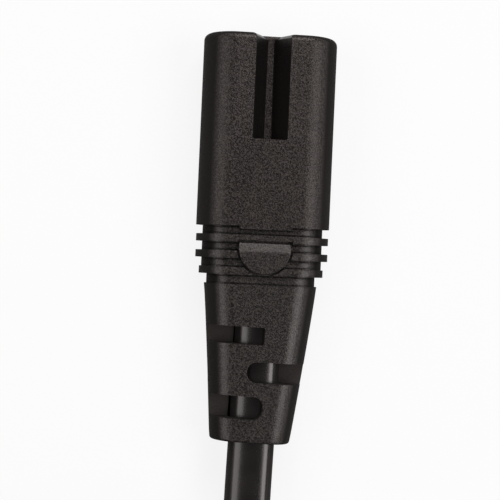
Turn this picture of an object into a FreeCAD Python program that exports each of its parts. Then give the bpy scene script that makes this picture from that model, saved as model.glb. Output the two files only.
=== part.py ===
"""Figure-eight power connector moulded on a flat two-core lead, with the lead coiled and its plug beside it.

The connector lies on its back face: X is its width, +Y points out of the mating face, +Z is up.
Distances along a moulding are measured from its front face towards the cord.
"""
import FreeCAD
import Part
import Sketcher

import math
import os

# Driving dimensions, millimetres.
DIMENSIONS = {
    # Nose and body of the connector.
    "body_width": 16.0,
    "body_thick": 8.0,
    "body_length": 23.15,
    "nose_round": 0.8,
    "contact_pitch": 8.6,
    "notch_width": 4.4,
    "notch_length": 12.3,
    "notch_shoulder": 0.6,
    "web_width": 0.9,
    "waist_thick": 2.2,
    # Ribbed collar with its thumb pad.
    "groove_gap": 1.055,
    "rib_length": 0.87,
    "rib_width": 15.9,
    "last_rib_width": 14.9,
    "last_rib_thick": 7.4,
    "collar_width": 14.5,
    "collar_thick": 6.5,
    "neck_width": 13.1,
    "neck_thick": 6.1,
    "tongue_width": 6.2,
    "tongue_reach": 0.33,
    "pad_radius": 3.14,
    "pad_setback": 1.8,
    "pad_gap": 0.4,
    "pad_bevel": 0.7,
    # Slotted flex boot.
    "boot_length": 18.72,
    "boot_top_width": 13.5,
    "boot_top_thick": 6.7,
    "boot_end_width": 9.65,
    "boot_end_thick": 5.9,
    "boot_round": 0.5,
    "slot_start": 6.35,
    "slot_pitch": 4.33,
    "slot_height": 2.4,
    "slot_past_axis": 1.0,
    # Insert, contacts and core ends inside the connector.
    "carrier_radius": 2.7,
    "bridge_wall": 0.7,
    "bridge_length": 3.0,
    "bridge_thick": 3.0,
    "entry_radius": 1.5,
    "entry_depth": 1.5,
    "entry_bevel": 0.3,
    "contact_bore": 1.2,
    "contact_wall": 0.5,
    "contact_clearance": 0.05,
    "sleeve_length": 12.5,
    "contact_web": 1.0,
    "contact_slit": 0.4,
    "slit_length": 9.5,
    "crimp_radius": 1.3,
    "crimp_length": 5.0,
    "conductor_radius": 0.55,
    "core_radius": 1.25,
    "core_pitch": 2.6,
    "core_length": 9.5,
    # Flat cord, its coil and tie.
    "cord_width": 5.6,
    "cord_thick": 3.5,
    "coil_bore": 19.05,
    "coil_radius": 35.15,
    "coil_height": 11.4,
    "coil_edge": 1.2,
    "coil_back": 44.8,
    "lead_turn_radius": 31.6,
    "tail_turn_radius": 33.4,
    "tie_width": 4.0,
    "tie_thick": 0.4,
    "tie_clearance": 0.15,
    "tie_twist_radius": 0.9,
    "tie_twist_length": 13.0,
    # Two-blade plug.
    "plug_ahead": 74.15,
    "plug_width": 20.0,
    "plug_thick": 13.5,
    "plug_corner": 3.0,
    "plug_rim": 6.0,
    "plug_grip_length": 16.0,
    "grip_width": 17.0,
    "grip_thick": 11.5,
    "grip_end_width": 13.5,
    "grip_end_thick": 9.5,
    "plug_boot_length": 16.0,
    "plug_boot_top_width": 10.6,
    "plug_boot_top_thick": 7.4,
    "plug_boot_end_width": 8.8,
    "plug_boot_end_thick": 6.2,
    "plug_slot_start": 3.4,
    "plug_slot_pitch": 4.2,
    "plug_slot_height": 2.2,
    "grip_groove_start": 2.6,
    "grip_groove_pitch": 3.2,
    "grip_groove_length": 1.2,
    "grip_groove_depth": 0.7,
    "holder_width": 16.6,
    "holder_thick": 9.0,
    "holder_length": 7.0,
    "blade_pitch": 12.7,
    "blade_width": 6.3,
    "blade_thick": 1.5,
    "blade_reach": 17.5,
    "blade_tip": 0.6,
    "blade_hole_radius": 1.55,
    "blade_hole_from_tip": 5.6,
    "blade_crimp_length": 4.5,
    "plug_core_length": 8.5,
}

# Where the cord turns, chosen by hand: past the connector's boot, and past the coil's middle.
LEAD_TURNS = (9.65, 29.65)
TAIL_TURNS = (13.15, 28.15)

SHEET_NAME = "Sizes"
SLOT_SIDES = (-1, 1, -1)
RIB_COUNT = 3
GRIP_GROOVES = 4
ARC_SHARE = 0.45
FULL_TURN = 360.0
SAME_PLANE = 1e-4
SIDES = {"live": -1, "neutral": 1}


class Size:
    """A number together with the expression that gives it from the sheet's cells."""

    def __init__(self, value, text):
        self.value = value
        self.text = text

    @staticmethod
    def of(other):
        """Any number as a Size."""
        return other if isinstance(other, Size) else Size(float(other), repr(float(other)))

    def join(self, sign, other, value):
        return Size(value, f"({self.text} {sign} {Size.of(other).text})")

    def __add__(self, other):
        return self.join("+", other, self.value + Size.of(other).value)

    def __sub__(self, other):
        return self.join("-", other, self.value - Size.of(other).value)

    def __mul__(self, other):
        return self.join("*", other, self.value * Size.of(other).value)

    def __truediv__(self, other):
        return self.join("/", other, self.value / Size.of(other).value)

    def __neg__(self):
        return Size(-self.value, f"(0 - {self.text})")

    def root(self):
        """Square root."""
        return Size(math.sqrt(self.value), f"sqrt({self.text})")


ZERO = Size.of(0)


def make_sheet(doc):
    """The sheet of driving dimensions, and a Size for each of its cells."""
    sheet = doc.addObject("Spreadsheet::Sheet", SHEET_NAME)
    for row, (name, value) in enumerate(DIMENSIONS.items(), start=1):
        cell = f"A{row}"
        sheet.set(cell, str(value))
        sheet.setAlias(cell, name)
    doc.recompute()
    return {name: Size(float(sheet.get(name)), f"{SHEET_NAME}.{name}") for name in DIMENSIONS}


def new_body(doc, label, place):
    """A body whose local origin is bound to a place."""
    body = doc.addObject("PartDesign::Body", label)
    body.Label = label
    for axis, size in zip("xyz", place):
        body.setExpression(f".Placement.Base.{axis}", Size.of(size).text)
    return body


def origin_item(body, role):
    """One of a body's own origin planes or axes."""
    return next(item for item in body.Origin.OriginFeatures if item.Role == role)


def sketch_on(body, name, role, lift=ZERO):
    """An empty sketch on an origin plane, lifted along the plane's normal."""
    sketch = body.newObject("Sketcher::SketchObject", name)
    sketch.AttachmentSupport = [(origin_item(body, role), "")]
    sketch.MapMode = "FlatFace"
    sketch.setExpression(".AttachmentOffset.Base.z", Size.of(lift).text)
    return sketch


def pin(sketch, edge, spot, axis, size):
    """Hold one coordinate of a sketch point at a size."""
    size = Size.of(size)
    row = sketch.addConstraint(Sketcher.Constraint(f"Distance{axis}", -1, 1, edge, spot, size.value))
    sketch.setExpression(f"Constraints[{row}]", size.text)


def draw_outline(sketch, corners, arcs=None):
    """A closed outline through corners; arcs maps an edge to its centre and turn, 1 anticlockwise."""
    arcs = arcs or {}
    corners = [(Size.of(x), Size.of(y)) for x, y in corners]
    first = sketch.GeometryCount
    count = len(corners)
    ends = []
    for edge, start in enumerate(corners):
        stop = corners[(edge + 1) % count]
        if edge not in arcs:
            begin, finish = (FreeCAD.Vector(x.value, y.value, 0) for x, y in (start, stop))
            sketch.addGeometry(Part.LineSegment(begin, finish))
            ends.append((1, 2))
            continue
        centre_x, centre_y, turn = arcs[edge]
        middle = (Size.of(centre_x).value, Size.of(centre_y).value)
        angles = [math.atan2(y.value - middle[1], x.value - middle[0]) for x, y in (start, stop)]
        begin, finish = angles if turn > 0 else reversed(angles)
        if finish <= begin:
            finish += 2 * math.pi
        radius = math.hypot(start[0].value - middle[0], start[1].value - middle[1])
        circle = Part.Circle(FreeCAD.Vector(*middle, 0), FreeCAD.Vector(0, 0, 1), radius)
        sketch.addGeometry(Part.ArcOfCircle(circle, begin, finish))
        ends.append((1, 2) if turn > 0 else (2, 1))
    for edge in range(count):
        after = (edge + 1) % count
        sketch.addConstraint(
            Sketcher.Constraint("Coincident", first + edge, ends[edge][1], first + after, ends[after][0])
        )
    for edge, (x, y) in enumerate(corners):
        before = (edge - 1) % count
        axes = {"X": x, "Y": y}
        if before in arcs:
            across = abs(x.value - Size.of(arcs[before][0]).value)
            along = abs(y.value - Size.of(arcs[before][1]).value)
            del axes["Y" if along > across else "X"]
        for axis, size in axes.items():
            pin(sketch, first + edge, ends[edge][0], axis, size)
    for edge, (centre_x, centre_y, _) in arcs.items():
        pin(sketch, first + edge, 3, "X", centre_x)
        pin(sketch, first + edge, 3, "Y", centre_y)


def draw_circle(sketch, x, y, radius):
    """A circle held by its centre and radius."""
    middle = FreeCAD.Vector(Size.of(x).value, Size.of(y).value, 0)
    edge = sketch.addGeometry(Part.Circle(middle, FreeCAD.Vector(0, 0, 1), radius.value))
    pin(sketch, edge, 3, "X", x)
    pin(sketch, edge, 3, "Y", y)
    row = sketch.addConstraint(Sketcher.Constraint("Radius", edge, radius.value))
    sketch.setExpression(f"Constraints[{row}]", radius.text)


def draw_box(sketch, low, high):
    """A rectangle between two corners."""
    (left, bottom), (right, top) = low, high
    draw_outline(sketch, [(left, bottom), (right, bottom), (right, top), (left, top)])


def draw_rounded(sketch, width, thick, corner):
    """A rectangle about the origin with four round corners."""
    x, y = width / 2, thick / 2
    flat_x, flat_y = x - corner, y - corner
    corners = [
        (flat_x, y), (-flat_x, y), (-x, flat_y), (-x, -flat_y),
        (-flat_x, -y), (flat_x, -y), (x, -flat_y), (x, flat_y),
    ]
    arcs = {
        1: (-flat_x, flat_y, 1), 3: (-flat_x, -flat_y, 1), 5: (flat_x, -flat_y, 1), 7: (flat_x, flat_y, 1),
    }
    draw_outline(sketch, corners, arcs)


def draw_stadium(sketch, width, thick):
    """A flat-sided section with half-round ends, about the origin."""
    radius = thick / 2
    flat = width / 2 - radius
    corners = [(flat, radius), (-flat, radius), (-flat, -radius), (flat, -radius)]
    draw_outline(sketch, corners, {1: (-flat, ZERO, 1), 3: (flat, ZERO, 1)})


def section(body, name, along, draw, *sizes):
    """A cross-section sketch at a distance from the front face."""
    sketch = sketch_on(body, name, "XZ_Plane", along)
    draw(sketch, *sizes)
    return sketch


def feature(body, kind, name, sketch, **sizes):
    """A sketch-based feature with its sizes bound."""
    made = body.newObject(f"PartDesign::{kind}", name)
    made.Profile = sketch
    for key, size in sizes.items():
        made.setExpression(key, Size.of(size).text)
    return made


def pad(body, name, sketch, length):
    """Material added along the sketch's normal."""
    return feature(body, "Pad", name, sketch, Length=length)


def pocket(body, name, sketch, depth):
    """Material removed along the sketch's normal; a cut that misses stops the build."""
    doc = body.Document
    doc.recompute()
    before = body.Shape.Volume
    made = feature(body, "Pocket", name, sketch, Length=depth)
    made.Reversed = True
    doc.recompute()
    if body.Shape.Volume >= before:
        raise RuntimeError(f"{body.Label}: {name} cuts nothing")
    return made


def loft(body, name, first, last, kind="AdditiveLoft"):
    """A straight loft between two sections."""
    made = body.newObject(f"PartDesign::{kind}", name)
    made.Profile = first
    made.Sections = [last]
    made.Ruled = True
    return made


def dress(body, kind, name, wanted, **sizes):
    """A fillet or chamfer on the edges of the body so far that pass a test."""
    body.Document.recompute()
    base = body.Tip
    names = [f"Edge{i}" for i, edge in enumerate(base.Shape.Edges, start=1) if wanted(edge)]
    made = body.newObject(f"PartDesign::{kind}", name)
    made.Base = (base, names)
    for key, size in sizes.items():
        made.setExpression(key, size.text)
    return made


def lies_at(along):
    """A test for edges that lie in the cross-section plane at a distance from the front face."""
    def test(edge):
        box = edge.BoundBox
        return max(abs(box.YMin + along.value), abs(box.YMax + along.value)) < SAME_PLANE
    return test


def repeat(body, kind, name, originals, **settings):
    """A mirror or pattern of features, made the body's tip."""
    made = body.newObject(f"PartDesign::{kind}", name)
    made.Originals = originals
    for key, value in settings.items():
        setattr(made, key, value)
    body.Tip = made
    return made


def core_ends(size, crimp_end, core_length, pitch):
    """Where a pair of cores leaves the crimps and where it meets the sheath."""
    return (crimp_end, pitch / 2), (crimp_end + core_length, size["core_pitch"] / 2)


def core_loft(body, name, side, radius, ends, kind="AdditiveLoft"):
    """A round core running slantwise between its two ends."""
    sections = [
        section(body, f"{name}_{place}", along, draw_circle, across * side, ZERO, radius)
        for place, (along, across) in zip(("front", "back"), ends)
    ]
    return loft(body, name, *sections, kind=kind)


def slot_outline(sketch, side, near, far, reach, past):
    """A slot from outside one edge to past the axis, with a half-round inner end."""
    radius = (far - near) / 2
    flat = (past - radius) * -side
    corners = [(reach * side, -near), (flat, -near), (flat, -far), (reach * side, -far)]
    draw_outline(sketch, corners, {1: (flat, -(near + far) / 2, side)})


def boot_slots(body, size, start, first, pitch, height, thick, width):
    """Alternating slots down to the middle plane, and the same turned half round the axis."""
    made = []
    for index, side in enumerate(SLOT_SIDES):
        middle = start + first + pitch * index
        sketch = sketch_on(body, f"boot_slot_{index}_sketch", "XY_Plane")
        slot_outline(sketch, side, middle - height / 2, middle + height / 2, width, size["slot_past_axis"])
        made.append(pocket(body, f"boot_slot_{index}", sketch, thick))
    axis = (origin_item(body, "Y_Axis"), [""])
    turn = {"Axis": axis, "Angle": FULL_TURN, "Occurrences": 2}
    return repeat(body, "PolarPattern", "boot_slots_both_faces", made, **turn)


def boot(body, start, length, top, end, rounding):
    """The tapering boot with its rounded end."""
    sections = [
        section(body, "boot_top", start, draw_stadium, *top),
        section(body, "boot_end", start + length, draw_stadium, *end),
    ]
    loft(body, "boot", *sections)
    return dress(body, "Fillet", "boot_end_round", lies_at(start + length), Radius=rounding)


class Stations:
    """Distances from the connector's and the plug's front faces."""

    def __init__(self, size):
        step = size["groove_gap"] + size["rib_length"]
        self.ribs = [size["body_length"] + size["groove_gap"] + step * i for i in range(RIB_COUNT)]
        self.neck = size["body_length"] + step * RIB_COUNT
        self.boot = self.neck + size["groove_gap"]
        self.end = self.boot + size["boot_length"]
        self.pad = size["body_length"] + size["pad_setback"]
        self.bridge = size["notch_length"] + size["bridge_wall"]
        self.carrier_end = self.bridge + size["bridge_length"]
        self.crimp = size["entry_depth"] + size["sleeve_length"] + size["contact_web"]
        self.crimp_end = self.crimp + size["crimp_length"]
        self.sheath = self.crimp_end + size["core_length"]
        self.place = (ZERO, self.end / 2, size["body_thick"] / 2)
        self.plug_grip_end = size["plug_rim"] + size["plug_grip_length"]
        self.plug_end = self.plug_grip_end + size["plug_boot_length"]
        self.plug_crimp_end = size["holder_length"] + size["blade_crimp_length"]
        self.plug_sheath = self.plug_crimp_end + size["plug_core_length"]
        self.exit_y = -self.end / 2
        self.coil_place = (-size["lead_turn_radius"], self.exit_y - size["coil_back"], size["tie_thick"])
        coil_x, coil_y, coil_z = self.coil_place
        self.lower_turns = coil_z + size["coil_height"] / 4
        self.upper_turns = coil_z + size["coil_height"] / 4 * 3
        self.tail_x = coil_x - size["tail_turn_radius"]
        self.plug_place = (self.tail_x, coil_y + size["plug_ahead"], size["plug_thick"] / 2)

    def lead_route(self):
        """Turning points of the cord from the connector's sheath end to the coil."""
        x, front, axis = self.place
        level, landed = (self.exit_y - turn for turn in LEAD_TURNS)
        return [
            (x, front - self.sheath, axis),
            (x, level, axis),
            (x, landed, self.lower_turns),
            (x, self.coil_place[1], self.lower_turns),
        ]

    def tail_route(self):
        """Turning points of the cord from the coil to the plug's sheath end."""
        x, front, axis = self.plug_place
        coil_y = self.coil_place[1]
        level, landed = (coil_y + turn for turn in TAIL_TURNS)
        return [
            (x, coil_y, self.upper_turns),
            (x, level, self.upper_turns),
            (x, landed, axis),
            (x, front - self.plug_sheath, axis),
        ]


def notch(body, size):
    """The hollow between the lobes on the upper face: square shoulders, round walls, a flat web."""
    half = size["notch_width"] / 2
    web = size["waist_thick"] / 2
    foot = size["web_width"] / 2
    shoulder = size["body_thick"] / 2 - size["notch_shoulder"]
    spread = half * half + shoulder * shoulder - foot * foot - web * web
    centre = spread / (half - foot) / 2
    top = size["body_thick"]
    sketch = sketch_on(body, "notch_sketch", "XZ_Plane")
    corners = [
        (-foot, web), (foot, web), (half, shoulder), (half, top), (-half, top), (-half, shoulder),
    ]
    draw_outline(sketch, corners, {1: (centre, ZERO, -1), 5: (-centre, ZERO, -1)})
    return pocket(body, "notch", sketch, size["notch_length"])


def thumb_pad(body, size, start):
    """Half-moon pad between the ribs, with a bevelled straight edge and a gap around it."""
    floor = size["collar_thick"] / 2
    rise = (size["body_thick"] - size["collar_thick"]) / 2
    face = size["body_thick"] / 2
    radius, gap = size["pad_radius"], size["pad_gap"]
    half = size["tongue_width"] / 2
    tongue = sketch_on(body, "tongue_sketch", "XY_Plane", floor)
    edge = size["body_length"]
    draw_box(tongue, (-half, -(edge + size["tongue_reach"])), (half, -edge))
    room = sketch_on(body, "pad_room_sketch", "XY_Plane", floor)
    wide = radius + gap
    near = start - gap
    draw_outline(
        room,
        [(-wide, -near), (-wide, -start), (wide, -start), (wide, -near)],
        {1: (ZERO, -start, 1)},
    )
    moon = sketch_on(body, "thumb_pad_sketch", "XY_Plane", floor)
    draw_outline(moon, [(radius, -start), (-radius, -start)], {1: (ZERO, -start, 1)})
    bevel = size["pad_bevel"]
    slope = sketch_on(body, "pad_bevel_sketch", "YZ_Plane", -radius)
    draw_outline(slope, [(-start, face), (-(start + bevel), face), (-start, face - bevel)])
    return [
        pad(body, "tongue", tongue, rise),
        pocket(body, "pad_room", room, rise),
        pad(body, "thumb_pad", moon, rise),
        pocket(body, "pad_bevel", slope, radius * 2),
    ]


def connector_hollows(body, size, at):
    """Room for the insert, the crimps, the cores and the cord inside the moulding."""
    centre = size["contact_pitch"] / 2
    tubes = sketch_on(body, "carrier_room_sketch", "XZ_Plane")
    crimps = sketch_on(body, "crimp_room_sketch", "XZ_Plane", at.carrier_end)
    for side in SIDES.values():
        draw_circle(tubes, centre * side, ZERO, size["carrier_radius"])
        draw_circle(crimps, centre * side, ZERO, size["crimp_radius"])
    pocket(body, "carrier_room", tubes, at.carrier_end)
    bridge = sketch_on(body, "bridge_room_sketch", "XZ_Plane", at.bridge)
    half = size["bridge_thick"] / 2
    draw_box(bridge, (-centre, -half), (centre, half))
    pocket(body, "bridge_room", bridge, size["bridge_length"])
    pocket(body, "crimp_room", crimps, at.crimp_end - at.carrier_end)
    ends = core_ends(size, at.crimp_end, size["core_length"], size["contact_pitch"])
    for name, side in SIDES.items():
        core_loft(body, f"core_room_{name}", side, size["core_radius"], ends, "SubtractiveLoft")
    cord = (size["cord_width"], size["cord_thick"])
    bore = section(body, "cord_room_sketch", at.sheath, draw_stadium, *cord)
    pocket(body, "cord_room", bore, at.end - at.sheath)


def connector_body(doc, size, at):
    """The one-piece moulding: figure-eight nose, ribbed collar and slotted boot."""
    body = new_body(doc, "connector_body", at.place)
    main = section(body, "main_section", ZERO, draw_stadium, size["body_width"], size["body_thick"])
    pad(body, "main", main, size["body_length"])
    dress(body, "Fillet", "nose_edge", lies_at(ZERO), Radius=size["nose_round"])
    collar = section(body, "collar_section", size["body_length"], draw_stadium,
                     size["collar_width"], size["collar_thick"])
    pad(body, "collar", collar, at.neck - size["body_length"])
    neck = section(body, "neck_section", at.neck, draw_stadium, size["neck_width"], size["neck_thick"])
    pad(body, "neck", neck, size["groove_gap"])
    for index, along in enumerate(at.ribs):
        last = index == RIB_COUNT - 1
        width = size["last_rib_width"] if last else size["rib_width"]
        thick = size["last_rib_thick"] if last else size["body_thick"]
        rib = section(body, f"rib_{index}_section", along, draw_stadium, width, thick)
        pad(body, f"rib_{index}", rib, size["rib_length"])
    boot(
        body, at.boot, size["boot_length"],
        (size["boot_top_width"], size["boot_top_thick"]),
        (size["boot_end_width"], size["boot_end_thick"]), size["boot_round"],
    )
    both_faces = [notch(body, size), *thumb_pad(body, size, at.pad)]
    middle = (origin_item(body, "XY_Plane"), [""])
    repeat(body, "Mirrored", "both_faces", both_faces, MirrorPlane=middle)
    boot_slots(
        body, size, at.boot, size["slot_start"], size["slot_pitch"], size["slot_height"],
        size["boot_top_thick"], size["boot_top_width"],
    )
    connector_hollows(body, size, at)
    return body


def contact_carrier(doc, size, at):
    """Hard insert that holds the two contacts and shows as two rings in the mating face."""
    body = new_body(doc, "contact_carrier", at.place)
    centre = size["contact_pitch"] / 2
    half = size["bridge_thick"] / 2
    tubes = sketch_on(body, "tubes_sketch", "XZ_Plane")
    entries = sketch_on(body, "entries_sketch", "XZ_Plane")
    seats = sketch_on(body, "seats_sketch", "XZ_Plane", size["entry_depth"])
    for side in SIDES.values():
        draw_circle(tubes, centre * side, ZERO, size["carrier_radius"])
        draw_circle(entries, centre * side, ZERO, size["entry_radius"])
        seat = size["contact_bore"] + size["contact_wall"] + size["contact_clearance"]
        draw_circle(seats, centre * side, ZERO, seat)
    pad(body, "tubes", tubes, at.carrier_end)
    bridge = sketch_on(body, "bridge_sketch", "XZ_Plane", at.bridge)
    draw_box(bridge, (-centre, -half), (centre, half))
    pad(body, "bridge", bridge, size["bridge_length"])
    pocket(body, "entries", entries, size["entry_depth"])
    pocket(body, "seats", seats, at.carrier_end - size["entry_depth"])
    mouth = lies_at(ZERO)
    between = (size["carrier_radius"] + size["entry_radius"]).value
    dress(
        body, "Chamfer", "mouths",
        lambda edge: mouth(edge) and edge.BoundBox.XLength < between,
        Size=size["entry_bevel"],
    )
    return body


def contact(doc, size, at, name, side):
    """A slit brass sleeve for the pin, closed behind, with a crimp barrel for the conductor."""
    x, y, z = at.place
    body = new_body(doc, f"contact_{name}", (x + size["contact_pitch"] / 2 * side, y, z))
    bore = size["contact_bore"]
    outer = bore + size["contact_wall"]
    front = size["entry_depth"]
    floor = front + size["sleeve_length"]
    wire = size["conductor_radius"]
    crimp = size["crimp_radius"]
    sketch = sketch_on(body, "half_section", "XY_Plane")
    profile = [
        (bore, front), (outer, front), (outer, floor), (crimp, at.crimp), (crimp, at.crimp_end),
        (wire, at.crimp_end), (wire, at.crimp), (ZERO, at.crimp), (ZERO, floor), (bore, floor),
    ]
    draw_outline(sketch, [(radius, -along) for radius, along in profile])
    turned = feature(body, "Revolution", "turned", sketch)
    turned.ReferenceAxis = (sketch, ["V_Axis"])
    turned.Angle = FULL_TURN
    half = size["contact_slit"] / 2
    slit = sketch_on(body, "slit_sketch", "XY_Plane")
    draw_box(slit, (-half, -(front + size["slit_length"])), (half, -front))
    pocket(body, "slit", slit, outer * 2)
    return body


def core_pair(doc, size, prefix, place, start, ends, pitch):
    """Bare conductors from inside the crimps to the sheath, and the insulation around them."""
    crimp_end = ends[0][0]
    made = []
    for name, side in SIDES.items():
        wire = new_body(doc, f"{prefix}conductor_{name}", place)
        round_end = section(
            wire, "crimped_section", start, draw_circle, pitch / 2 * side, ZERO, size["conductor_radius"]
        )
        pad(wire, "crimped", round_end, crimp_end - start)
        core_loft(wire, "spread", side, size["conductor_radius"], ends)
        cover = new_body(doc, f"{prefix}core_{name}", place)
        core_loft(cover, "cover", side, size["core_radius"], ends)
        core_loft(cover, "bore", side, size["conductor_radius"], ends, "SubtractiveLoft")
        made += [wire, cover]
    return made


def cord_path(points, label):
    """Straight runs joined by tangent arcs as large as the runs allow."""
    points = [FreeCAD.Vector(*(size.value for size in point)) for point in points]
    edges = []
    radii = []
    here = points[0]
    for before, corner, after in zip(points, points[1:], points[2:]):
        arriving = (corner - before).normalize()
        leaving = (after - corner).normalize()
        trim = ARC_SHARE * min((corner - before).Length, (after - corner).Length)
        half_turn = arriving.getAngle(leaving) / 2
        radii.append(trim / math.tan(half_turn))
        begin = corner - arriving * trim
        finish = corner + leaving * trim
        inward = (leaving - arriving).normalize()
        depth = radii[-1] / math.cos(half_turn) - radii[-1]
        edges.append(Part.LineSegment(here, begin).toShape())
        edges.append(Part.Arc(begin, corner + inward * depth, finish).toShape())
        here = finish
    edges.append(Part.LineSegment(here, points[-1]).toShape())
    print(label, "arc radii", [round(radius) for radius in radii])
    return Part.Wire(edges)


def cord_tube(doc, size, label, points):
    """A stretch of flat cord along its route, wide side level."""
    path = cord_path(points, label)
    radius = size["cord_thick"].value / 2
    flat = size["cord_width"].value / 2 - radius
    spots = [(flat, radius), (-flat, radius), (-flat, -radius), (flat, -radius)]
    corners = [FreeCAD.Vector(x, 0, z) for x, z in spots]
    outline = Part.Wire([
        Part.LineSegment(corners[0], corners[1]).toShape(),
        Part.Arc(corners[1], FreeCAD.Vector(-flat - radius, 0, 0), corners[2]).toShape(),
        Part.LineSegment(corners[2], corners[3]).toShape(),
        Part.Arc(corners[3], FreeCAD.Vector(flat + radius, 0, 0), corners[0]).toShape(),
    ])
    outline.translate(FreeCAD.Vector(*(size.value for size in points[0])))
    sweep = Part.BRepOffsetAPI.MakePipeShell(path)
    sweep.setBiNormalMode(FreeCAD.Vector(0, 0, 1))
    sweep.add(outline)
    sweep.build()
    sweep.makeSolid()
    tube = doc.addObject("Part::Feature", label)
    tube.Shape = sweep.shape()
    tube.Label = label
    expected = Part.Face(outline).Area * path.Length
    print(label, "volume", round(tube.Shape.Volume, 1), "section times length", round(expected, 1))
    return tube


def cord_coil(doc, size, at):
    """The outer shape of the coiled cord, with straight ways for the lead and the tail."""
    body = new_body(doc, "cord_coil", at.coil_place)
    ring = sketch_on(body, "ring_section", "XZ_Plane")
    edge = size["coil_edge"]
    low, high, top = size["coil_bore"], size["coil_radius"], size["coil_height"]
    corners = [
        (low + edge, ZERO), (high - edge, ZERO), (high, edge), (high, top - edge),
        (high - edge, top), (low + edge, top), (low, top - edge), (low, edge),
    ]
    arcs = {
        1: (high - edge, edge, 1), 3: (high - edge, top - edge, 1),
        5: (low + edge, top - edge, 1), 7: (low + edge, edge, 1),
    }
    draw_outline(ring, corners, arcs)
    turned = feature(body, "Revolution", "ring", ring)
    turned.ReferenceAxis = (ring, ["V_Axis"])
    turned.Angle = FULL_TURN
    layer = top / 2
    half = size["cord_width"] / 2
    lead = sketch_on(body, "lead_way_sketch", "XY_Plane")
    draw_box(lead, (size["lead_turn_radius"] - half, ZERO), (high + half, high))
    pocket(body, "lead_way", lead, layer)
    tail = sketch_on(body, "tail_way_sketch", "XY_Plane", layer)
    draw_box(tail, (-(high + half), ZERO), (half - size["tail_turn_radius"], high))
    pocket(body, "tail_way", tail, layer)
    return body


def coil_tie(doc, size, at):
    """A wire tie bent round the coil on its far side, with its two ends twisted together."""
    body = new_body(doc, "coil_tie", at.coil_place)
    wall, gap = size["tie_thick"], size["tie_clearance"]
    half = size["tie_width"] / 2
    near = -(size["coil_bore"] - gap - half * half / size["coil_bore"])
    far = -(size["coil_radius"] + gap)
    top = size["coil_height"] + gap
    band = sketch_on(body, "band_sketch", "YZ_Plane", -half)
    draw_box(band, (far - wall, -wall), (near + wall, top + wall))
    draw_box(band, (far, ZERO), (near, top))
    pad(body, "band", band, size["tie_width"])
    twist = sketch_on(body, "twist_sketch", "XZ_Plane", -(near + wall + size["tie_twist_length"]))
    draw_circle(twist, ZERO, top / 2, size["tie_twist_radius"])
    pad(body, "twist", twist, size["tie_twist_length"])
    return body


def plug_body(doc, size, at):
    """The plug's moulding: square rim, tapering ribbed grip and slotted boot."""
    body = new_body(doc, "plug_body", at.plug_place)
    corner = size["plug_corner"]
    rim = section(body, "rim_section", ZERO, draw_rounded, size["plug_width"], size["plug_thick"], corner)
    pad(body, "rim", rim, size["plug_rim"])
    grip = [
        section(body, "grip_front", size["plug_rim"], draw_rounded,
                size["grip_width"], size["grip_thick"], corner),
        section(body, "grip_back", at.plug_grip_end, draw_rounded,
                size["grip_end_width"], size["grip_end_thick"], corner),
    ]
    loft(body, "grip", *grip)
    boot(
        body, at.plug_grip_end, size["plug_boot_length"],
        (size["plug_boot_top_width"], size["plug_boot_top_thick"]),
        (size["plug_boot_end_width"], size["plug_boot_end_thick"]), size["boot_round"],
    )
    grooves = []
    shrink = (size["grip_thick"] - size["grip_end_thick"]) / 2 / size["plug_grip_length"]
    for index in range(GRIP_GROOVES):
        into = size["grip_groove_start"] + size["grip_groove_pitch"] * index
        along = size["plug_rim"] + into
        floor = size["grip_thick"] / 2 - shrink * into - size["grip_groove_depth"]
        sketch = sketch_on(body, f"grip_groove_{index}_sketch", "XY_Plane", floor)
        reach = size["grip_end_width"] / 2 - corner / 2
        draw_box(sketch, (-reach, -(along + size["grip_groove_length"])), (reach, -along))
        grooves.append(pocket(body, f"grip_groove_{index}", sketch, size["plug_thick"]))
    middle = (origin_item(body, "XY_Plane"), [""])
    repeat(body, "Mirrored", "grooves_both_faces", grooves, MirrorPlane=middle)
    boot_slots(
        body, size, at.plug_grip_end, size["plug_slot_start"], size["plug_slot_pitch"],
        size["plug_slot_height"], size["plug_boot_top_thick"], size["plug_boot_top_width"],
    )
    holder = sketch_on(body, "holder_room_sketch", "XZ_Plane")
    half_x, half_z = size["holder_width"] / 2, size["holder_thick"] / 2
    draw_box(holder, (-half_x, -half_z), (half_x, half_z))
    pocket(body, "holder_room", holder, size["holder_length"])
    crimps = sketch_on(body, "crimp_room_sketch", "XZ_Plane", size["holder_length"])
    for side in SIDES.values():
        draw_circle(crimps, size["blade_pitch"] / 2 * side, ZERO, size["crimp_radius"])
    pocket(body, "crimp_room", crimps, size["blade_crimp_length"])
    ends = core_ends(size, at.plug_crimp_end, size["plug_core_length"], size["blade_pitch"])
    for name, side in SIDES.items():
        core_loft(body, f"core_room_{name}", side, size["core_radius"], ends, "SubtractiveLoft")
    cord = (size["cord_width"], size["cord_thick"])
    bore = section(body, "cord_room_sketch", at.plug_sheath, draw_stadium, *cord)
    pocket(body, "cord_room", bore, at.plug_end - at.plug_sheath)
    return body


def blade_corners(size, side, half_wide):
    """Opposite corners of one blade's section."""
    middle = size["blade_pitch"] / 2 * side
    half = size["blade_thick"] / 2
    return (middle - half, -half_wide), (middle + half, half_wide)


def blade_holder(doc, size, at):
    """Hard insert in the plug's face that keeps the blades apart."""
    body = new_body(doc, "blade_holder", at.plug_place)
    half_x, half_z = size["holder_width"] / 2, size["holder_thick"] / 2
    block = sketch_on(body, "block_sketch", "XZ_Plane")
    draw_box(block, (-half_x, -half_z), (half_x, half_z))
    pad(body, "block", block, size["holder_length"])
    slots = sketch_on(body, "slots_sketch", "XZ_Plane")
    for side in SIDES.values():
        draw_box(slots, *blade_corners(size, side, size["blade_width"] / 2))
    pocket(body, "slots", slots, size["holder_length"])
    return body


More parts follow.
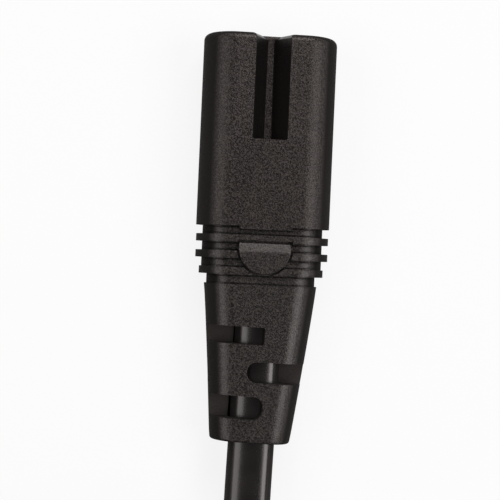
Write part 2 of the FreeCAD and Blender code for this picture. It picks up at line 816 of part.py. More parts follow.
def blade(doc, size, at, name, side):
    """A flat blade with a tapered tip and a hole, crimped to its conductor inside the plug."""
    body = new_body(doc, f"blade_{name}", at.plug_place)
    reach = size["blade_reach"]
    flat = sketch_on(body, "flat_section", "XZ_Plane", -reach)
    draw_box(flat, *blade_corners(size, side, size["blade_width"] / 2))
    pad(body, "flat", flat, reach + size["holder_length"])
    dress(body, "Chamfer", "tip", lies_at(-reach), Size=size["blade_tip"])
    middle = size["blade_pitch"] / 2 * side
    hole = sketch_on(body, "hole_sketch", "YZ_Plane", middle - size["blade_thick"])
    draw_circle(hole, reach - size["blade_hole_from_tip"], ZERO, size["blade_hole_radius"])
    pocket(body, "hole", hole, size["blade_thick"] * 2)
    barrel = section(
        body, "barrel_section", size["holder_length"], draw_circle, middle, ZERO, size["crimp_radius"]
    )
    pad(body, "barrel", barrel, size["blade_crimp_length"])
    core = section(
        body, "barrel_bore", size["holder_length"] + size["contact_web"], draw_circle,
        middle, ZERO, size["conductor_radius"],
    )
    pocket(body, "bore", core, size["blade_crimp_length"] - size["contact_web"])
    return body


def check_document(doc):
    """Stop if anything in the document failed to build."""
    for item in doc.Objects:
        if {"Invalid", "Error"} & set(item.State):
            raise RuntimeError(f"{item.Name} is {item.State}")


def check_part(part):
    """Stop if a sub-part isn't sound solid matter."""
    shape = part.Shape
    if shape.isNull() or not shape.isValid() or not shape.Solids:
        raise RuntimeError(f"{part.Label} has no sound shape")
    print(part.Label, len(shape.Solids), "solid", round(shape.Volume, 2), "cubic mm")


def main():
    """Build every sub-part, check it and write it out."""
    doc = FreeCAD.newDocument("figure_eight_lead")
    size = make_sheet(doc)
    at = Stations(size)
    parts = [connector_body(doc, size, at), contact_carrier(doc, size, at)]
    parts += [contact(doc, size, at, name, side) for name, side in SIDES.items()]
    ends = core_ends(size, at.crimp_end, size["core_length"], size["contact_pitch"])
    parts += core_pair(doc, size, "", at.place, at.crimp, ends, size["contact_pitch"])
    parts += [
        cord_tube(doc, size, "cord_lead", at.lead_route()),
        cord_coil(doc, size, at),
        coil_tie(doc, size, at),
        cord_tube(doc, size, "cord_tail", at.tail_route()),
        plug_body(doc, size, at),
        blade_holder(doc, size, at),
    ]
    parts += [blade(doc, size, at, name, side) for name, side in SIDES.items()]
    ends = core_ends(size, at.plug_crimp_end, size["plug_core_length"], size["blade_pitch"])
    start = size["holder_length"] + size["contact_web"]
    parts += core_pair(doc, size, "plug_", at.plug_place, start, ends, size["blade_pitch"])
    doc.recompute()
    check_document(doc)
    for part in parts:
        check_part(part)
    os.makedirs("parts", exist_ok=True)
    for part in parts:
        part.Shape.exportStep(f"parts/{part.Label}.step")


main()
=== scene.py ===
"""Figure-eight power connector on its coiled lead: modelled pieces, finishes, light and camera.

Sizes held by the classes are millimetres, and Blender's own units are metres.
"""
import logging
import math
from collections.abc import Callable, Iterable, Sequence
from dataclasses import dataclass, replace
from enum import Enum

import bmesh
import bpy
from mathutils import Matrix, Vector


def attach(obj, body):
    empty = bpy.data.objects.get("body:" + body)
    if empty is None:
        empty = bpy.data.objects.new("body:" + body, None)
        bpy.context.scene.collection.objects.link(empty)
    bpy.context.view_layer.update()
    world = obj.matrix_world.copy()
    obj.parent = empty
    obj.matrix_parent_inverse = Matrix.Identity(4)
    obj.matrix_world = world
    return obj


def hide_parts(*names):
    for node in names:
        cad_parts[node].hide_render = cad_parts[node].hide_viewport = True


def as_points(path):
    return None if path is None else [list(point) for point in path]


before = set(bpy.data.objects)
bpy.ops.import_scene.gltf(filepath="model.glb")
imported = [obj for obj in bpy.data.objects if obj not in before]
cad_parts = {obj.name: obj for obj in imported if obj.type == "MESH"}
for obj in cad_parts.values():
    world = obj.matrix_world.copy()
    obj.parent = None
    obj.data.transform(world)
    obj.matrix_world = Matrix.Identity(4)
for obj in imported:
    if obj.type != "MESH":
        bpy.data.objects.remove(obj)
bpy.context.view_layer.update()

LOG = logging.getLogger("figure_eight")
MM = 0.001  # one millimetre in Blender's metres
BODY = "root"  # the body that every piece rides
RING_POINTS = 72  # corners around a moulding's section
ROD_POINTS = 96  # corners around a round bar
STEP = 0.02  # length of a square step between two sections, millimetres
SAME_PLACE = 0.003  # corners this close are at one place, millimetres
UP_AND_DOWN = (1, -1)  # the two faces or sides of a piece
UPRIGHT = (0.5, 0.78)  # squared upward part of the normal on upright and on level faces

Point = tuple[float, float, float]
Colour = tuple[float, float, float]
Span = tuple[float, float]


class Element(Enum):
    """What an edit-mode step selects."""

    VERT = "VERT"
    EDGE = "EDGE"
    FACE = "FACE"


class Carve(Enum):
    """What a tool does to the piece it meets."""

    CUT = "DIFFERENCE"
    JOIN = "UNION"


def metres(point: Iterable[float]) -> Vector:
    """A point given in millimetres, in metres."""
    return Vector(tuple(point)) * MM


class Bench:
    """Steps of modelling by hand: starting, selecting, cutting and finishing a piece."""

    @staticmethod
    def clear() -> None:
        """Leave edit mode and deselect everything."""
        active = bpy.context.view_layer.objects.active
        if active is not None and active.mode != "OBJECT":
            bpy.ops.object.mode_set(mode="OBJECT")
        bpy.ops.object.select_all(action="DESELECT")

    @staticmethod
    def hold(piece: bpy.types.Object) -> None:
        """Make a piece the only selected one, and the active one."""
        Bench.clear()
        piece.select_set(True)
        bpy.context.view_layer.objects.active = piece

    @staticmethod
    def edit(piece: bpy.types.Object) -> None:
        """Enter edit mode on a piece."""
        Bench.hold(piece)
        bpy.ops.object.mode_set(mode="EDIT")

    @staticmethod
    def done() -> None:
        """Leave edit mode."""
        bpy.ops.object.mode_set(mode="OBJECT")

    @staticmethod
    def settle(name: str) -> bpy.types.Object:
        """Name the primitive just added and put its place into its mesh.

        Args:
            name: The piece's name.

        Returns:
            The piece, at the origin, unturned and unscaled.
        """
        piece = bpy.context.active_object
        piece.name = name
        piece.data.name = name
        bpy.ops.object.transform_apply(location=True, rotation=True, scale=True)
        return piece

    @staticmethod
    def block(name: str, corner: Sequence[float], opposite: Sequence[float]) -> bpy.types.Object:
        """A box between two opposite corners.

        Args:
            name: The piece's name.
            corner: One corner, millimetres.
            opposite: The corner farthest from it, millimetres.

        Returns:
            The box.
        """
        Bench.clear()
        start, stop = metres(corner), metres(opposite)
        bpy.ops.mesh.primitive_cube_add(size=1.0, location=(start + stop) / 2)
        bpy.context.active_object.scale = [abs(side) for side in stop - start]
        return Bench.settle(name)

    @staticmethod
    def rod(name: str, start: Sequence[float], stop: Sequence[float], radius: float,
            points: int = ROD_POINTS) -> bpy.types.Object:
        """A round bar between two points.

        Args:
            name: The piece's name.
            start: Middle of one end, millimetres.
            stop: Middle of the other end, millimetres.
            radius: Radius, millimetres.
            points: Corners around the bar.

        Returns:
            The bar.
        """
        Bench.clear()
        run = metres(stop) - metres(start)
        bpy.ops.mesh.primitive_cylinder_add(
            vertices=points, radius=radius * MM, depth=run.length, location=metres(start) + run / 2,
            rotation=run.to_track_quat("Z", "Y").to_euler(),
        )
        return Bench.settle(name)

    @staticmethod
    def middle(item: bmesh.types.BMVert | bmesh.types.BMEdge | bmesh.types.BMFace) -> Vector:
        """Middle of a vertex, edge or face, in millimetres."""
        if isinstance(item, bmesh.types.BMVert):
            return item.co / MM
        corners = [vert.co for vert in item.verts]
        return sum(corners, Vector()) / len(corners) / MM

    @staticmethod
    def pick(piece: bpy.types.Object, kind: Element, test: Callable[[Vector], bool]) -> None:
        """Select the elements whose middle passes a test, in edit mode.

        Args:
            piece: The piece being edited.
            kind: Which elements to look at.
            test: Whether an element at this middle, in millimetres, is wanted.
        """
        bpy.ops.mesh.select_mode(type=kind.value)
        bpy.ops.mesh.select_all(action="DESELECT")
        mesh = bmesh.from_edit_mesh(piece.data)
        items = {Element.VERT: mesh.verts, Element.EDGE: mesh.edges, Element.FACE: mesh.faces}[kind]
        for item in [item for item in items if test(Bench.middle(item))]:
            item.select_set(True)
        mesh.select_flush_mode()
        bmesh.update_edit_mesh(piece.data)

    @staticmethod
    def pick_sharp(piece: bpy.types.Object, test: Callable[[Vector], bool], degrees: float = 30.0) -> None:
        """Select the sharp edges whose middle passes a test, in edit mode.

        Args:
            piece: The piece being edited.
            test: Whether an edge at this middle, in millimetres, is wanted.
            degrees: Least angle between the faces of a sharp edge.
        """
        bpy.ops.mesh.select_mode(type=Element.EDGE.value)
        bpy.ops.mesh.select_all(action="DESELECT")
        bpy.ops.mesh.edges_select_sharp(sharpness=math.radians(degrees))
        mesh = bmesh.from_edit_mesh(piece.data)
        for edge in mesh.edges:
            if edge.select and not test(Bench.middle(edge)):
                edge.select_set(False)
        mesh.select_flush_mode()
        bmesh.update_edit_mesh(piece.data)

    @staticmethod
    def round_selected(width: float, segments: int) -> None:
        """Round the selected edges, in edit mode."""
        bpy.ops.mesh.bevel(offset=width * MM, segments=segments, affect="EDGES", clamp_overlap=True)

    @staticmethod
    def carve(piece: bpy.types.Object, tool: bpy.types.Object, how: Carve = Carve.CUT) -> None:
        """Cut a tool out of a piece or join it on, and throw the tool away.

        Args:
            piece: The piece that stays.
            tool: The piece that is used up.
            how: Whether the tool cuts or joins.
        """
        Bench.hold(piece)
        bpy.ops.object.modifier_add(type="BOOLEAN")
        modifier = piece.modifiers[-1]
        modifier.operation = how.value
        modifier.solver = "EXACT"
        modifier.object = tool
        bpy.ops.object.modifier_apply(modifier=modifier.name)
        bpy.data.objects.remove(tool)

    @staticmethod
    def merge(piece: bpy.types.Object, distance: float = 0.004) -> None:
        """Close tiny edges and point the faces outwards.

        Args:
            piece: The piece to clean.
            distance: Corners closer than this become one, millimetres.
        """
        Bench.edit(piece)
        bpy.ops.mesh.select_all(action="SELECT")
        bpy.ops.mesh.remove_doubles(threshold=distance * MM)
        bpy.ops.mesh.dissolve_degenerate(threshold=distance * MM)
        bpy.ops.mesh.normals_make_consistent(inside=False)
        Bench.done()

    @staticmethod
    def smooth(piece: bpy.types.Object, degrees: float = 35.0) -> None:
        """Shade a piece smoothly between its sharp edges, with flat faces kept flat.

        Args:
            piece: The piece to shade.
            degrees: Edges sharper than this stay sharp.
        """
        Bench.hold(piece)
        bpy.ops.object.shade_smooth_by_angle(angle=math.radians(degrees))
        bpy.ops.object.modifier_add(type="WEIGHTED_NORMAL")
        modifier = piece.modifiers[-1]
        modifier.keep_sharp = True
        bpy.ops.object.modifier_apply(modifier=modifier.name)


class Signal:
    """A shader value that Python's operators turn into Math nodes."""

    def __init__(self, graph: "Graph", socket: bpy.types.NodeSocket) -> None:
        """Wrap an output socket of a graph."""
        self.graph = graph
        self.socket = socket

    def math(self, operation: str, *values: "Signal | float") -> "Signal":
        """The result of a Math node on some values."""
        sockets = dict(enumerate(values))
        return self.graph.signal("ShaderNodeMath", "Value", {"operation": operation}, sockets)

    def __add__(self, other: "Signal | float") -> "Signal":
        """Sum."""
        return self.math("ADD", self, other)

    __radd__ = __add__

    def __sub__(self, other: "Signal | float") -> "Signal":
        """Difference."""
        return self.math("SUBTRACT", self, other)

    def __rsub__(self, other: "Signal | float") -> "Signal":
        """Difference from a number."""
        return self.math("SUBTRACT", other, self)

    def __mul__(self, other: "Signal | float") -> "Signal":
        """Product."""
        return self.math("MULTIPLY", self, other)

    __rmul__ = __mul__

    def clamp(self) -> "Signal":
        """The value held between 0 and 1."""
        return self.graph.signal("ShaderNodeClamp", "Result", {}, {"Value": self})

    def ramp(self, low: float, high: float) -> "Signal":
        """0 below low, 1 above high, smooth between."""
        return self.graph.signal(
            "ShaderNodeMapRange", "Result", {"interpolation_type": "SMOOTHSTEP"},
            {"Value": self, "From Min": low, "From Max": high},
        )

    def past(self, start: float, stop: float) -> "Signal":
        """0 before one place and 1 after another, for places in millimetres."""
        return self.ramp(start * MM, stop * MM)

    def beyond(self, start: float, stop: float) -> "Signal":
        """0 within one distance of the middle and 1 past another, on both sides, in millimetres."""
        return (self * self).ramp((start * MM) ** 2, (stop * MM) ** 2)


class Graph:
    """A material's nodes."""

    def __init__(self, name: str) -> None:
        """Start an empty material.

        Args:
            name: The material's name.
        """
        self.material = bpy.data.materials.new(name)
        self.material.use_nodes = True
        self.tree = self.material.node_tree
        self.tree.nodes.clear()

    def node(self, kind: str, settings: dict[str, object] | None = None,
             sockets: dict[str | int, object] | None = None) -> bpy.types.Node:
        """Add a node.

        Args:
            kind: The node's type.
            settings: Its properties, set first.
            sockets: Values or links of its inputs, by name or number.

        Returns:
            The node.
        """
        made = self.tree.nodes.new(kind)
        for key, value in (settings or {}).items():
            setattr(made, key, value)
        for key, value in (sockets or {}).items():
            if isinstance(value, Signal):
                self.tree.links.new(value.socket, made.inputs[key])
            else:
                made.inputs[key].default_value = value
        return made

    def signal(self, kind: str, output: str | int, settings: dict[str, object] | None = None,
               sockets: dict[str | int, object] | None = None) -> Signal:
        """Add a node and take one of its outputs.

        Args:
            kind: The node's type.
            output: The output's name or number.
            settings: Its properties.
            sockets: Values or links of its inputs.

        Returns:
            The output.
        """
        return Signal(self, self.node(kind, settings, sockets).outputs[output])

    def place(self) -> Signal:
        """The point on the piece, in its own coordinates."""
        return self.signal("ShaderNodeTexCoord", "Object")

    def axes(self, where: Signal) -> list[Signal]:
        """The three coordinates of a vector."""
        split = self.node("ShaderNodeSeparateXYZ", None, {"Vector": where})
        return [Signal(self, output) for output in split.outputs]

    def drawn(self, where: Signal, share: float) -> Signal:
        """The point with its Y cut to a share, which draws a pattern out along the lead."""
        return self.signal("ShaderNodeMapping", "Vector", None, {"Vector": where, "Scale": (1.0, share, 1.0)})

    def upright(self) -> Signal:
        """1 on faces that stand upright, 0 on those that lie level."""
        lift = self.axes(self.signal("ShaderNodeTexCoord", "Normal"))[2]
        return 1.0 - (lift * lift).ramp(*UPRIGHT)

    def noise(self, where: Signal, size: float, detail: float = 2.0, roughness: float = 0.5) -> Signal:
        """Cloudy noise.

        Args:
            where: The point on the piece.
            size: Size of its spots, millimetres.
            detail: Finer layers added.
            roughness: Strength of the finer layers.

        Returns:
            A value about 0.5.
        """
        sockets = {"Vector": where, "Scale": 1.0 / (size * MM), "Detail": detail, "Roughness": roughness}
        return self.signal("ShaderNodeTexNoise", "Fac", None, sockets)

    def cells(self, where: Signal, size: float) -> Signal:
        """Distance to the nearest of scattered points, for pits.

        Args:
            where: The point on the piece.
            size: Spacing of the points, millimetres.

        Returns:
            0 at a point, rising outwards.
        """
        sockets = {"Vector": where, "Scale": 1.0 / (size * MM)}
        return self.signal("ShaderNodeTexVoronoi", "Distance", None, sockets)

    def blend(self, share: Signal, first: Colour, second: Colour) -> Signal:
        """A colour between two.

        Args:
            share: 0 for the first colour, 1 for the second.
            first: First colour, linear.
            second: Second colour, linear.

        Returns:
            The colour.
        """
        sockets = {0: share, 6: (*first, 1.0), 7: (*second, 1.0)}
        return self.signal("ShaderNodeMix", 2, {"data_type": "RGBA"}, sockets)

    def bump(self, height: Signal, depth: float, strength: float) -> Signal:
        """A normal tilted by a height.

        Args:
            height: The height, 0 to 1.
            depth: Real depth of a height of 1, millimetres.
            strength: Share of the effect.

        Returns:
            The normal.
        """
        sockets = {"Height": height, "Distance": depth * MM, "Strength": strength}
        return self.signal("ShaderNodeBump", "Normal", None, sockets)

    def finish(self, **sockets: object) -> bpy.types.Material:
        """Close the material with a Principled surface.

        Args:
            sockets: Its inputs, with underscores for spaces.

        Returns:
            The material.
        """
        named = {key.replace("_", " "): value for key, value in sockets.items()}
        surface = self.signal("ShaderNodeBsdfPrincipled", "BSDF", None, named)
        self.node("ShaderNodeOutputMaterial", None, {"Surface": surface})
        return self.material


@dataclass(frozen=True)
class GrainedPlastic:
    """Soft black moulding with the fine spark-eroded grain of its mould."""

    name: str = "grained_moulding"
    deep: Colour = (0.0060, 0.0053, 0.0050)
    raised: Colour = (0.0570, 0.0478, 0.0444)
    grain: float = 0.25
    fine_grain: float = 0.15
    grain_depth: float = 0.06
    streak: float = 1.7
    streak_share: float = 0.12
    tone_drop: float = 0.22
    roughness: float = 0.22
    ior: float = 1.40
    gloss_tint: Colour = (1.0, 0.88, 0.84)
    side_dulling: float = 0.65
    # painted shade: how much darker the base colour is on upright faces
    upright_painted_shade: float = 0.95
    crown_gloss: float = 0.30
    crown_roughness: float = 0.3
    nose_matting: float = 0.85
    nose_start: Span = (0.6, 1.8)
    axis_z: float = 4.0
    # the notch's walls: a polish without grain, and painted in shade with the darkest colour
    wall_start: Span = (11.62, 11.72)
    wall_reach: Span = (2.0734, 2.15)
    wall_foot: Span = (0.95, 1.05)
    wall_top: Span = (3.8092, 3.95)
    # painted highlight on the lobes beside the notch
    lobe_highlight_tone: float = 0.16
    lobe_highlight_start: Span = (10.52, 12.92)
    lobe_highlight_reach: Span = (3.45, 5.29)
    floor_tone: float = 0.55
    floor_reach: Span = (0.2, 0.35)
    boot_top: Span = (-5.5, -5.3)

    def material(self) -> bpy.types.Material:
        """Build the material.

        Returns:
            The grained black plastic.
        """
        graph = Graph(self.name)
        where = graph.place()
        across, along, up = graph.axes(where)
        rise = up - self.axis_z * MM
        coarse = graph.noise(where, self.grain, 1.0)
        fine = graph.noise(where, self.fine_grain, 1.0, 0.6)
        pits = graph.cells(where, self.fine_grain).ramp(0.05, 0.65)
        grain = (coarse * 0.35 + fine * 0.55 + pits * 0.2).clamp()
        streak = graph.noise(graph.drawn(where, self.streak_share), self.streak, 2.0)
        side = graph.upright()
        # bare is 0 on the notch's walls: no grain there, and a painted shade that takes the base colour down
        # to the darkest
        bare = 1.0 - self.polish_and_painted_shade(across, along, rise)
        smooth = self.slot_floors(along, rise)
        # Painted highlight: the lobes beside the notch get a lighter tone, standing in for the lamps' gloss
        # there
        painted_lobe_highlight = self.painted_lobe_highlight(across, along) * self.lobe_highlight_tone
        spots = grain.ramp(0.55, 0.70) * 0.95 + streak * 0.24 + painted_lobe_highlight - self.tone_drop
        tone = spots.clamp() * (1.0 - smooth) + smooth * self.floor_tone
        # Painted shade: upright faces get a darker base colour, standing in for the shade that falls on them
        painted_shade = bare * (1.0 - side * self.upright_painted_shade)
        rough = self.roughness + grain.ramp(0.4, 0.8) * 0.16 + streak * 0.08 + side * bare * self.side_dulling
        handled = 1.0 - along.past(*self.nose_start) * self.nose_matting
        return graph.finish(
            Base_Color=graph.blend(tone * painted_shade, self.deep, self.raised), Roughness=rough, IOR=self.ior,
            Specular_Tint=(*self.gloss_tint, 1.0), Coat_Roughness=self.crown_roughness,
            Coat_Weight=(1.0 - side) * bare * handled * self.crown_gloss,
            Normal=graph.bump(grain * bare * (1.0 - smooth), self.grain_depth, 1.0),
        )

    def painted_lobe_highlight(self, across: Signal, along: Signal) -> Signal:
        """1 on the lobes beside the notch, where a painted highlight makes the grain lighter."""
        return (1.0 - across.beyond(*self.lobe_highlight_reach)) * along.past(*self.lobe_highlight_start)

    def slot_floors(self, along: Signal, rise: Signal) -> Signal:
        """1 where the mould's blades leave no grain: on the floors of the boot's slots."""
        return (1.0 - rise.beyond(*self.floor_reach)) * (1.0 - along.past(*self.boot_top))

    def polish_and_painted_shade(self, across: Signal, along: Signal, rise: Signal) -> Signal:
        """The walls of the notch, where the mould's core leaves a polish instead of grain, and painted shade
        gives them the darkest colour.

        Args:
            across: Distance from the middle of the connector's width.
            along: Place along the connector.
            rise: Height above the connector's axis.

        Returns:
            1 on the walls, 0 elsewhere.
        """
        within = (1.0 - across.beyond(*self.wall_reach)) * (1.0 - rise.beyond(*self.wall_top))
        return within * rise.beyond(*self.wall_foot) * along.past(*self.wall_start)


@dataclass(frozen=True)
class SheathPlastic:
    """Smooth satin sheath of the cord."""

    name: str = "cord_sheath"
    dark: Colour = (0.0072, 0.0061, 0.0058)
    light: Colour = (0.0120, 0.0101, 0.0096)
    ripple: float = 2.6
    grain: float = 0.22
    roughness: float = 0.21
    ior: float = 1.42
    crown_gloss: float = 0.75
    crown_roughness: float = 0.2
    side_dulling: float = 0.6
    gloss_tint: Colour = (1.0, 0.86, 0.84)

    def material(self) -> bpy.types.Material:
        """Build the material.

        Returns:
            The smooth black sheath.
        """
        graph = Graph(self.name)
        where = graph.place()
        ripple = graph.noise(where, self.ripple, 2.0)
        fine = graph.noise(where, self.grain, 2.0)
        side = graph.upright()
        rough = self.roughness + ripple * 0.06 + fine * 0.05 + side * self.side_dulling
        return graph.finish(
            Base_Color=graph.blend(ripple.ramp(0.3, 0.7), self.dark, self.light), Roughness=rough,
            IOR=self.ior, Specular_Tint=(*self.gloss_tint, 1.0),
            Coat_Weight=(1.0 - side) * self.crown_gloss, Coat_Roughness=self.crown_roughness,
            Normal=graph.bump(ripple * 0.8 + fine * 0.2, 0.03, 0.5),
        )


@dataclass(frozen=True)
class PlainPlastic:
    """Hard or thin plastic with faint flow marks."""

    name: str
    dark: Colour
    light: Colour
    roughness: float = 0.42
    flow: float = 3.2
    grain: float = 0.25

    def material(self) -> bpy.types.Material:
        """Build the material.

        Returns:
            The plastic.
        """
        graph = Graph(self.name)
        where = graph.place()
        flow = graph.noise(where, self.flow, 3.0)
        fine = graph.noise(where, self.grain, 2.0)
        return graph.finish(
            Base_Color=graph.blend(flow.ramp(0.25, 0.75), self.dark, self.light),
            Roughness=(self.roughness - 0.05) + flow * 0.1 + fine * 0.05,
            Normal=graph.bump(fine * 0.6 + flow * 0.4, 0.02, 0.4),
        )


@dataclass(frozen=True)
class BareMetal:
    """Drawn or stamped metal with fine marks along the lead's length."""

    name: str
    dull: Colour
    bright: Colour
    roughness: float = 0.42
    mark: float = 0.12
    mark_share: float = 0.06
    tarnish: float = 2.4

    def material(self) -> bpy.types.Material:
        """Build the material.

        Returns:
            The metal.
        """
        graph = Graph(self.name)
        where = graph.place()
        marks = graph.noise(graph.drawn(where, self.mark_share), self.mark, 3.0, 0.6)
        tarnish = graph.noise(where, self.tarnish, 3.0)
        return graph.finish(
            Base_Color=graph.blend((marks * 0.4 + tarnish * 0.6).ramp(0.3, 0.7), self.dull, self.bright),
            Metallic=1.0, Roughness=(self.roughness - 0.08) + marks * 0.12 + tarnish * 0.1,
            Normal=graph.bump(marks, 0.01, 0.35),
        )


class Finishes:
    """Every finish of the lead, by the record's slot."""

    def __init__(self) -> None:
        """Build the materials once."""
        finishes = {
            "moulding": GrainedPlastic(),
            "cord": SheathPlastic(),
            "insert": PlainPlastic("hard_insert", (0.014, 0.0125, 0.012), (0.024, 0.022, 0.021)),
            "contact": BareMetal("contact_brass", (0.46, 0.31, 0.10), (0.78, 0.58, 0.25)),
            "conductor": BareMetal("conductor_copper", (0.52, 0.21, 0.10), (0.80, 0.40, 0.23), 0.40),
            "core_live": PlainPlastic("brown_insulation", (0.11, 0.036, 0.012), (0.17, 0.06, 0.022)),
            "core_neutral": PlainPlastic("blue_insulation", (0.012, 0.06, 0.30), (0.022, 0.10, 0.44)),
            "tie": PlainPlastic("tie_cover", (0.026, 0.025, 0.025), (0.045, 0.044, 0.043), 0.36),
            "blade": BareMetal("nickel_blade", (0.48, 0.45, 0.40), (0.70, 0.67, 0.61), 0.45),
        }
        self.materials = {slot: finish.material() for slot, finish in finishes.items()}

    def coat(self, piece: bpy.types.Object, slot: str) -> None:
        """Give a piece the finish of a slot, in place of any other.

        Args:
            piece: A modelled piece or a CAD node.
            slot: The record's slot.
        """
        piece.data.materials.clear()
        piece.data.materials.append(self.materials[slot])

    def enter(self, piece: bpy.types.Object, slot: str, *nodes: str) -> bpy.types.Object:
        """Coat a modelled piece, let it ride and let it stand for CAD nodes.

        Args:
            piece: The finished piece.
            slot: The record's slot.
            nodes: The CAD nodes that it stands for.

        Returns:
            The piece.
        """
        self.coat(piece, slot)
        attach(piece, BODY)
        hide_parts(*nodes)
        LOG.info("%s: %d faces, stands for %s", piece.name, len(piece.data.polygons), ", ".join(nodes))
        return piece


@dataclass(frozen=True)
class Ring:
    """A section across a moulding, with four round corners."""

    along: float
    width: float
    thick: float
    corner: float

    @classmethod
    def stadium(cls, along: float, width: float, thick: float) -> "Ring":
        """A section with half-round ends."""
        return cls(along, width, thick, thick / 2)

    def inset(self, along: float, amount: float) -> "Ring":
        """The same section drawn in all round.

        Args:
            along: Its distance from the front face.
            amount: How far it is drawn in.

        Returns:
            The smaller section.
        """
        return replace(
            self, along=along, width=self.width - 2 * amount, thick=self.thick - 2 * amount,
            corner=self.corner - amount,
        )

    def toward(self, other: "Ring", share: float) -> "Ring":
        """A section between this one and another."""
        pairs = zip(vars(self).values(), vars(other).values())
        return Ring(*(mine + (yours - mine) * share for mine, yours in pairs))

    @staticmethod
    def quarter(count: int) -> list[float]:
        """Angles of a quarter turn, in even steps."""
        return [math.pi / 2 * index / count for index in range(count + 1)]

    def rounded_start(self, radius: float, count: int = 6) -> list["Ring"]:
        """Sections of a rounded front edge that ends at the full section."""
        return [
            self.inset(self.along + radius * (1 - math.cos(angle)), radius * (1 - math.sin(angle)))
            for angle in self.quarter(count)
        ]

    def rounded_stop(self, radius: float, count: int = 5) -> list["Ring"]:
        """Sections of a rounded back edge that starts at the full section."""
        return [
            self.inset(self.along - radius * (1 - math.sin(angle)), radius * (1 - math.cos(angle)))
            for angle in self.quarter(count)
        ]

    def steps_to(self, other: "Ring", count: int) -> list["Ring"]:
        """Even sections from this one up to the one before another."""
        return [self.toward(other, index / count) for index in range(count)]


@dataclass(frozen=True)
class Moulding:
    """A moulding that runs along Y: where its front face and its axis are."""

    axis_x: float
    front: float
    axis_z: float

    def spot(self, along: float, across: float = 0.0, up: float = 0.0) -> Point:
        """A point at a distance from the front face, across and above the axis."""
        return (self.axis_x + across, self.front - along, self.axis_z + up)

    def grow(self, name: str, rings: Sequence[Ring]) -> bpy.types.Object:
        """Extrude a circle from section to section, then spread each into its flat-sided shape.

        Args:
            name: The piece's name.
            rings: Its sections, from the front face to the back.

        Returns:
            A closed piece.
        """
        Bench.clear()
        bpy.ops.mesh.primitive_circle_add(
            vertices=RING_POINTS, radius=rings[0].corner * MM, fill_type="NGON",
            location=metres(self.spot(rings[0].along)), rotation=(math.pi / 2, math.pi / RING_POINTS, 0.0),
        )
        piece = Bench.settle(name)
        Bench.edit(piece)
        bpy.ops.mesh.select_mode(type=Element.FACE.value)
        bpy.ops.mesh.select_all(action="SELECT")
        for before, ring in zip(rings, rings[1:]):
            run = (before.along - ring.along) * MM
            bpy.ops.mesh.extrude_region_move(TRANSFORM_OT_translate={"value": (0.0, run, 0.0)})
            grown = ring.corner / before.corner
            bpy.ops.transform.resize(
                value=(grown, 1.0, grown), center_override=metres(self.spot(ring.along))
            )
        for ring in rings:
            self.spread(piece, ring)
        bpy.ops.mesh.select_all(action="SELECT")
        bpy.ops.mesh.normals_make_consistent(inside=False)
        Bench.done()
        return piece

    def spread(self, piece: bpy.types.Object, ring: Ring) -> None:
        """Move the quarters of one round section apart, in edit mode.

        Args:
            piece: The piece being edited.
            ring: The section's sizes.
        """
        place = self.front - ring.along
        moves = [
            (0, self.axis_x, ring.width / 2 - ring.corner),
            (2, self.axis_z, ring.thick / 2 - ring.corner),
        ]
        for side in UP_AND_DOWN:
            for axis, centre, flat in moves:
                if flat <= 0.0:
                    continue
                Bench.pick(
                    piece, Element.VERT,
                    lambda spot: abs(spot.y - place) < SAME_PLACE and (spot[axis] - centre) * side > 0.0,
                )
                shift = [0.0, 0.0, 0.0]
                shift[axis] = side * flat * MM
                bpy.ops.transform.translate(value=shift)


@dataclass(frozen=True)
class Slots:
    """Slots that alternate down a boot and bare the cord: first on one face, then turned half round."""

    places: Sequence[float]
    sides: Sequence[int]
    heights: Sequence[float]
    past_axis: Sequence[float]
    end_rounds: Sequence[float]
    reach: float

    def cut(self, piece: bpy.types.Object, boot: Moulding) -> None:
        """Cut every slot down to the middle plane, from both faces.

        Args:
            piece: The moulding.
            boot: Its place.
        """
        for face in UP_AND_DOWN:
            for index in range(len(self.places)):
                Bench.carve(piece, self.tool(index, face, boot))

    def tool(self, index: int, face: int, boot: Moulding) -> bpy.types.Object:
        """A box with its inner end rounded, for one slot.

        Args:
            index: Which slot.
            face: 1 for the upper face, -1 for the lower.
            boot: The moulding's place.

        Returns:
            The cutter.
        """
        side = self.sides[index] * face
        half = self.heights[index] / 2
        inner = -side * self.past_axis[index]
        outer = side * self.reach
        near, far = self.places[index] - half, self.places[index] + half
        ends = [boot.spot(far, inner, 0.0), boot.spot(near, outer, self.reach * face)]
        tool = Bench.block("slot_tool", *ends)
        Bench.edit(tool)
        edge_x = boot.axis_x + inner
        level = (ends[0][2] + ends[1][2]) / 2
        Bench.pick(
            tool, Element.EDGE,
            lambda spot: abs(spot.x - edge_x) < SAME_PLACE and abs(spot.z - level) < SAME_PLACE,
        )
        Bench.round_selected(self.end_rounds[index], 10)
        Bench.done()
        return tool


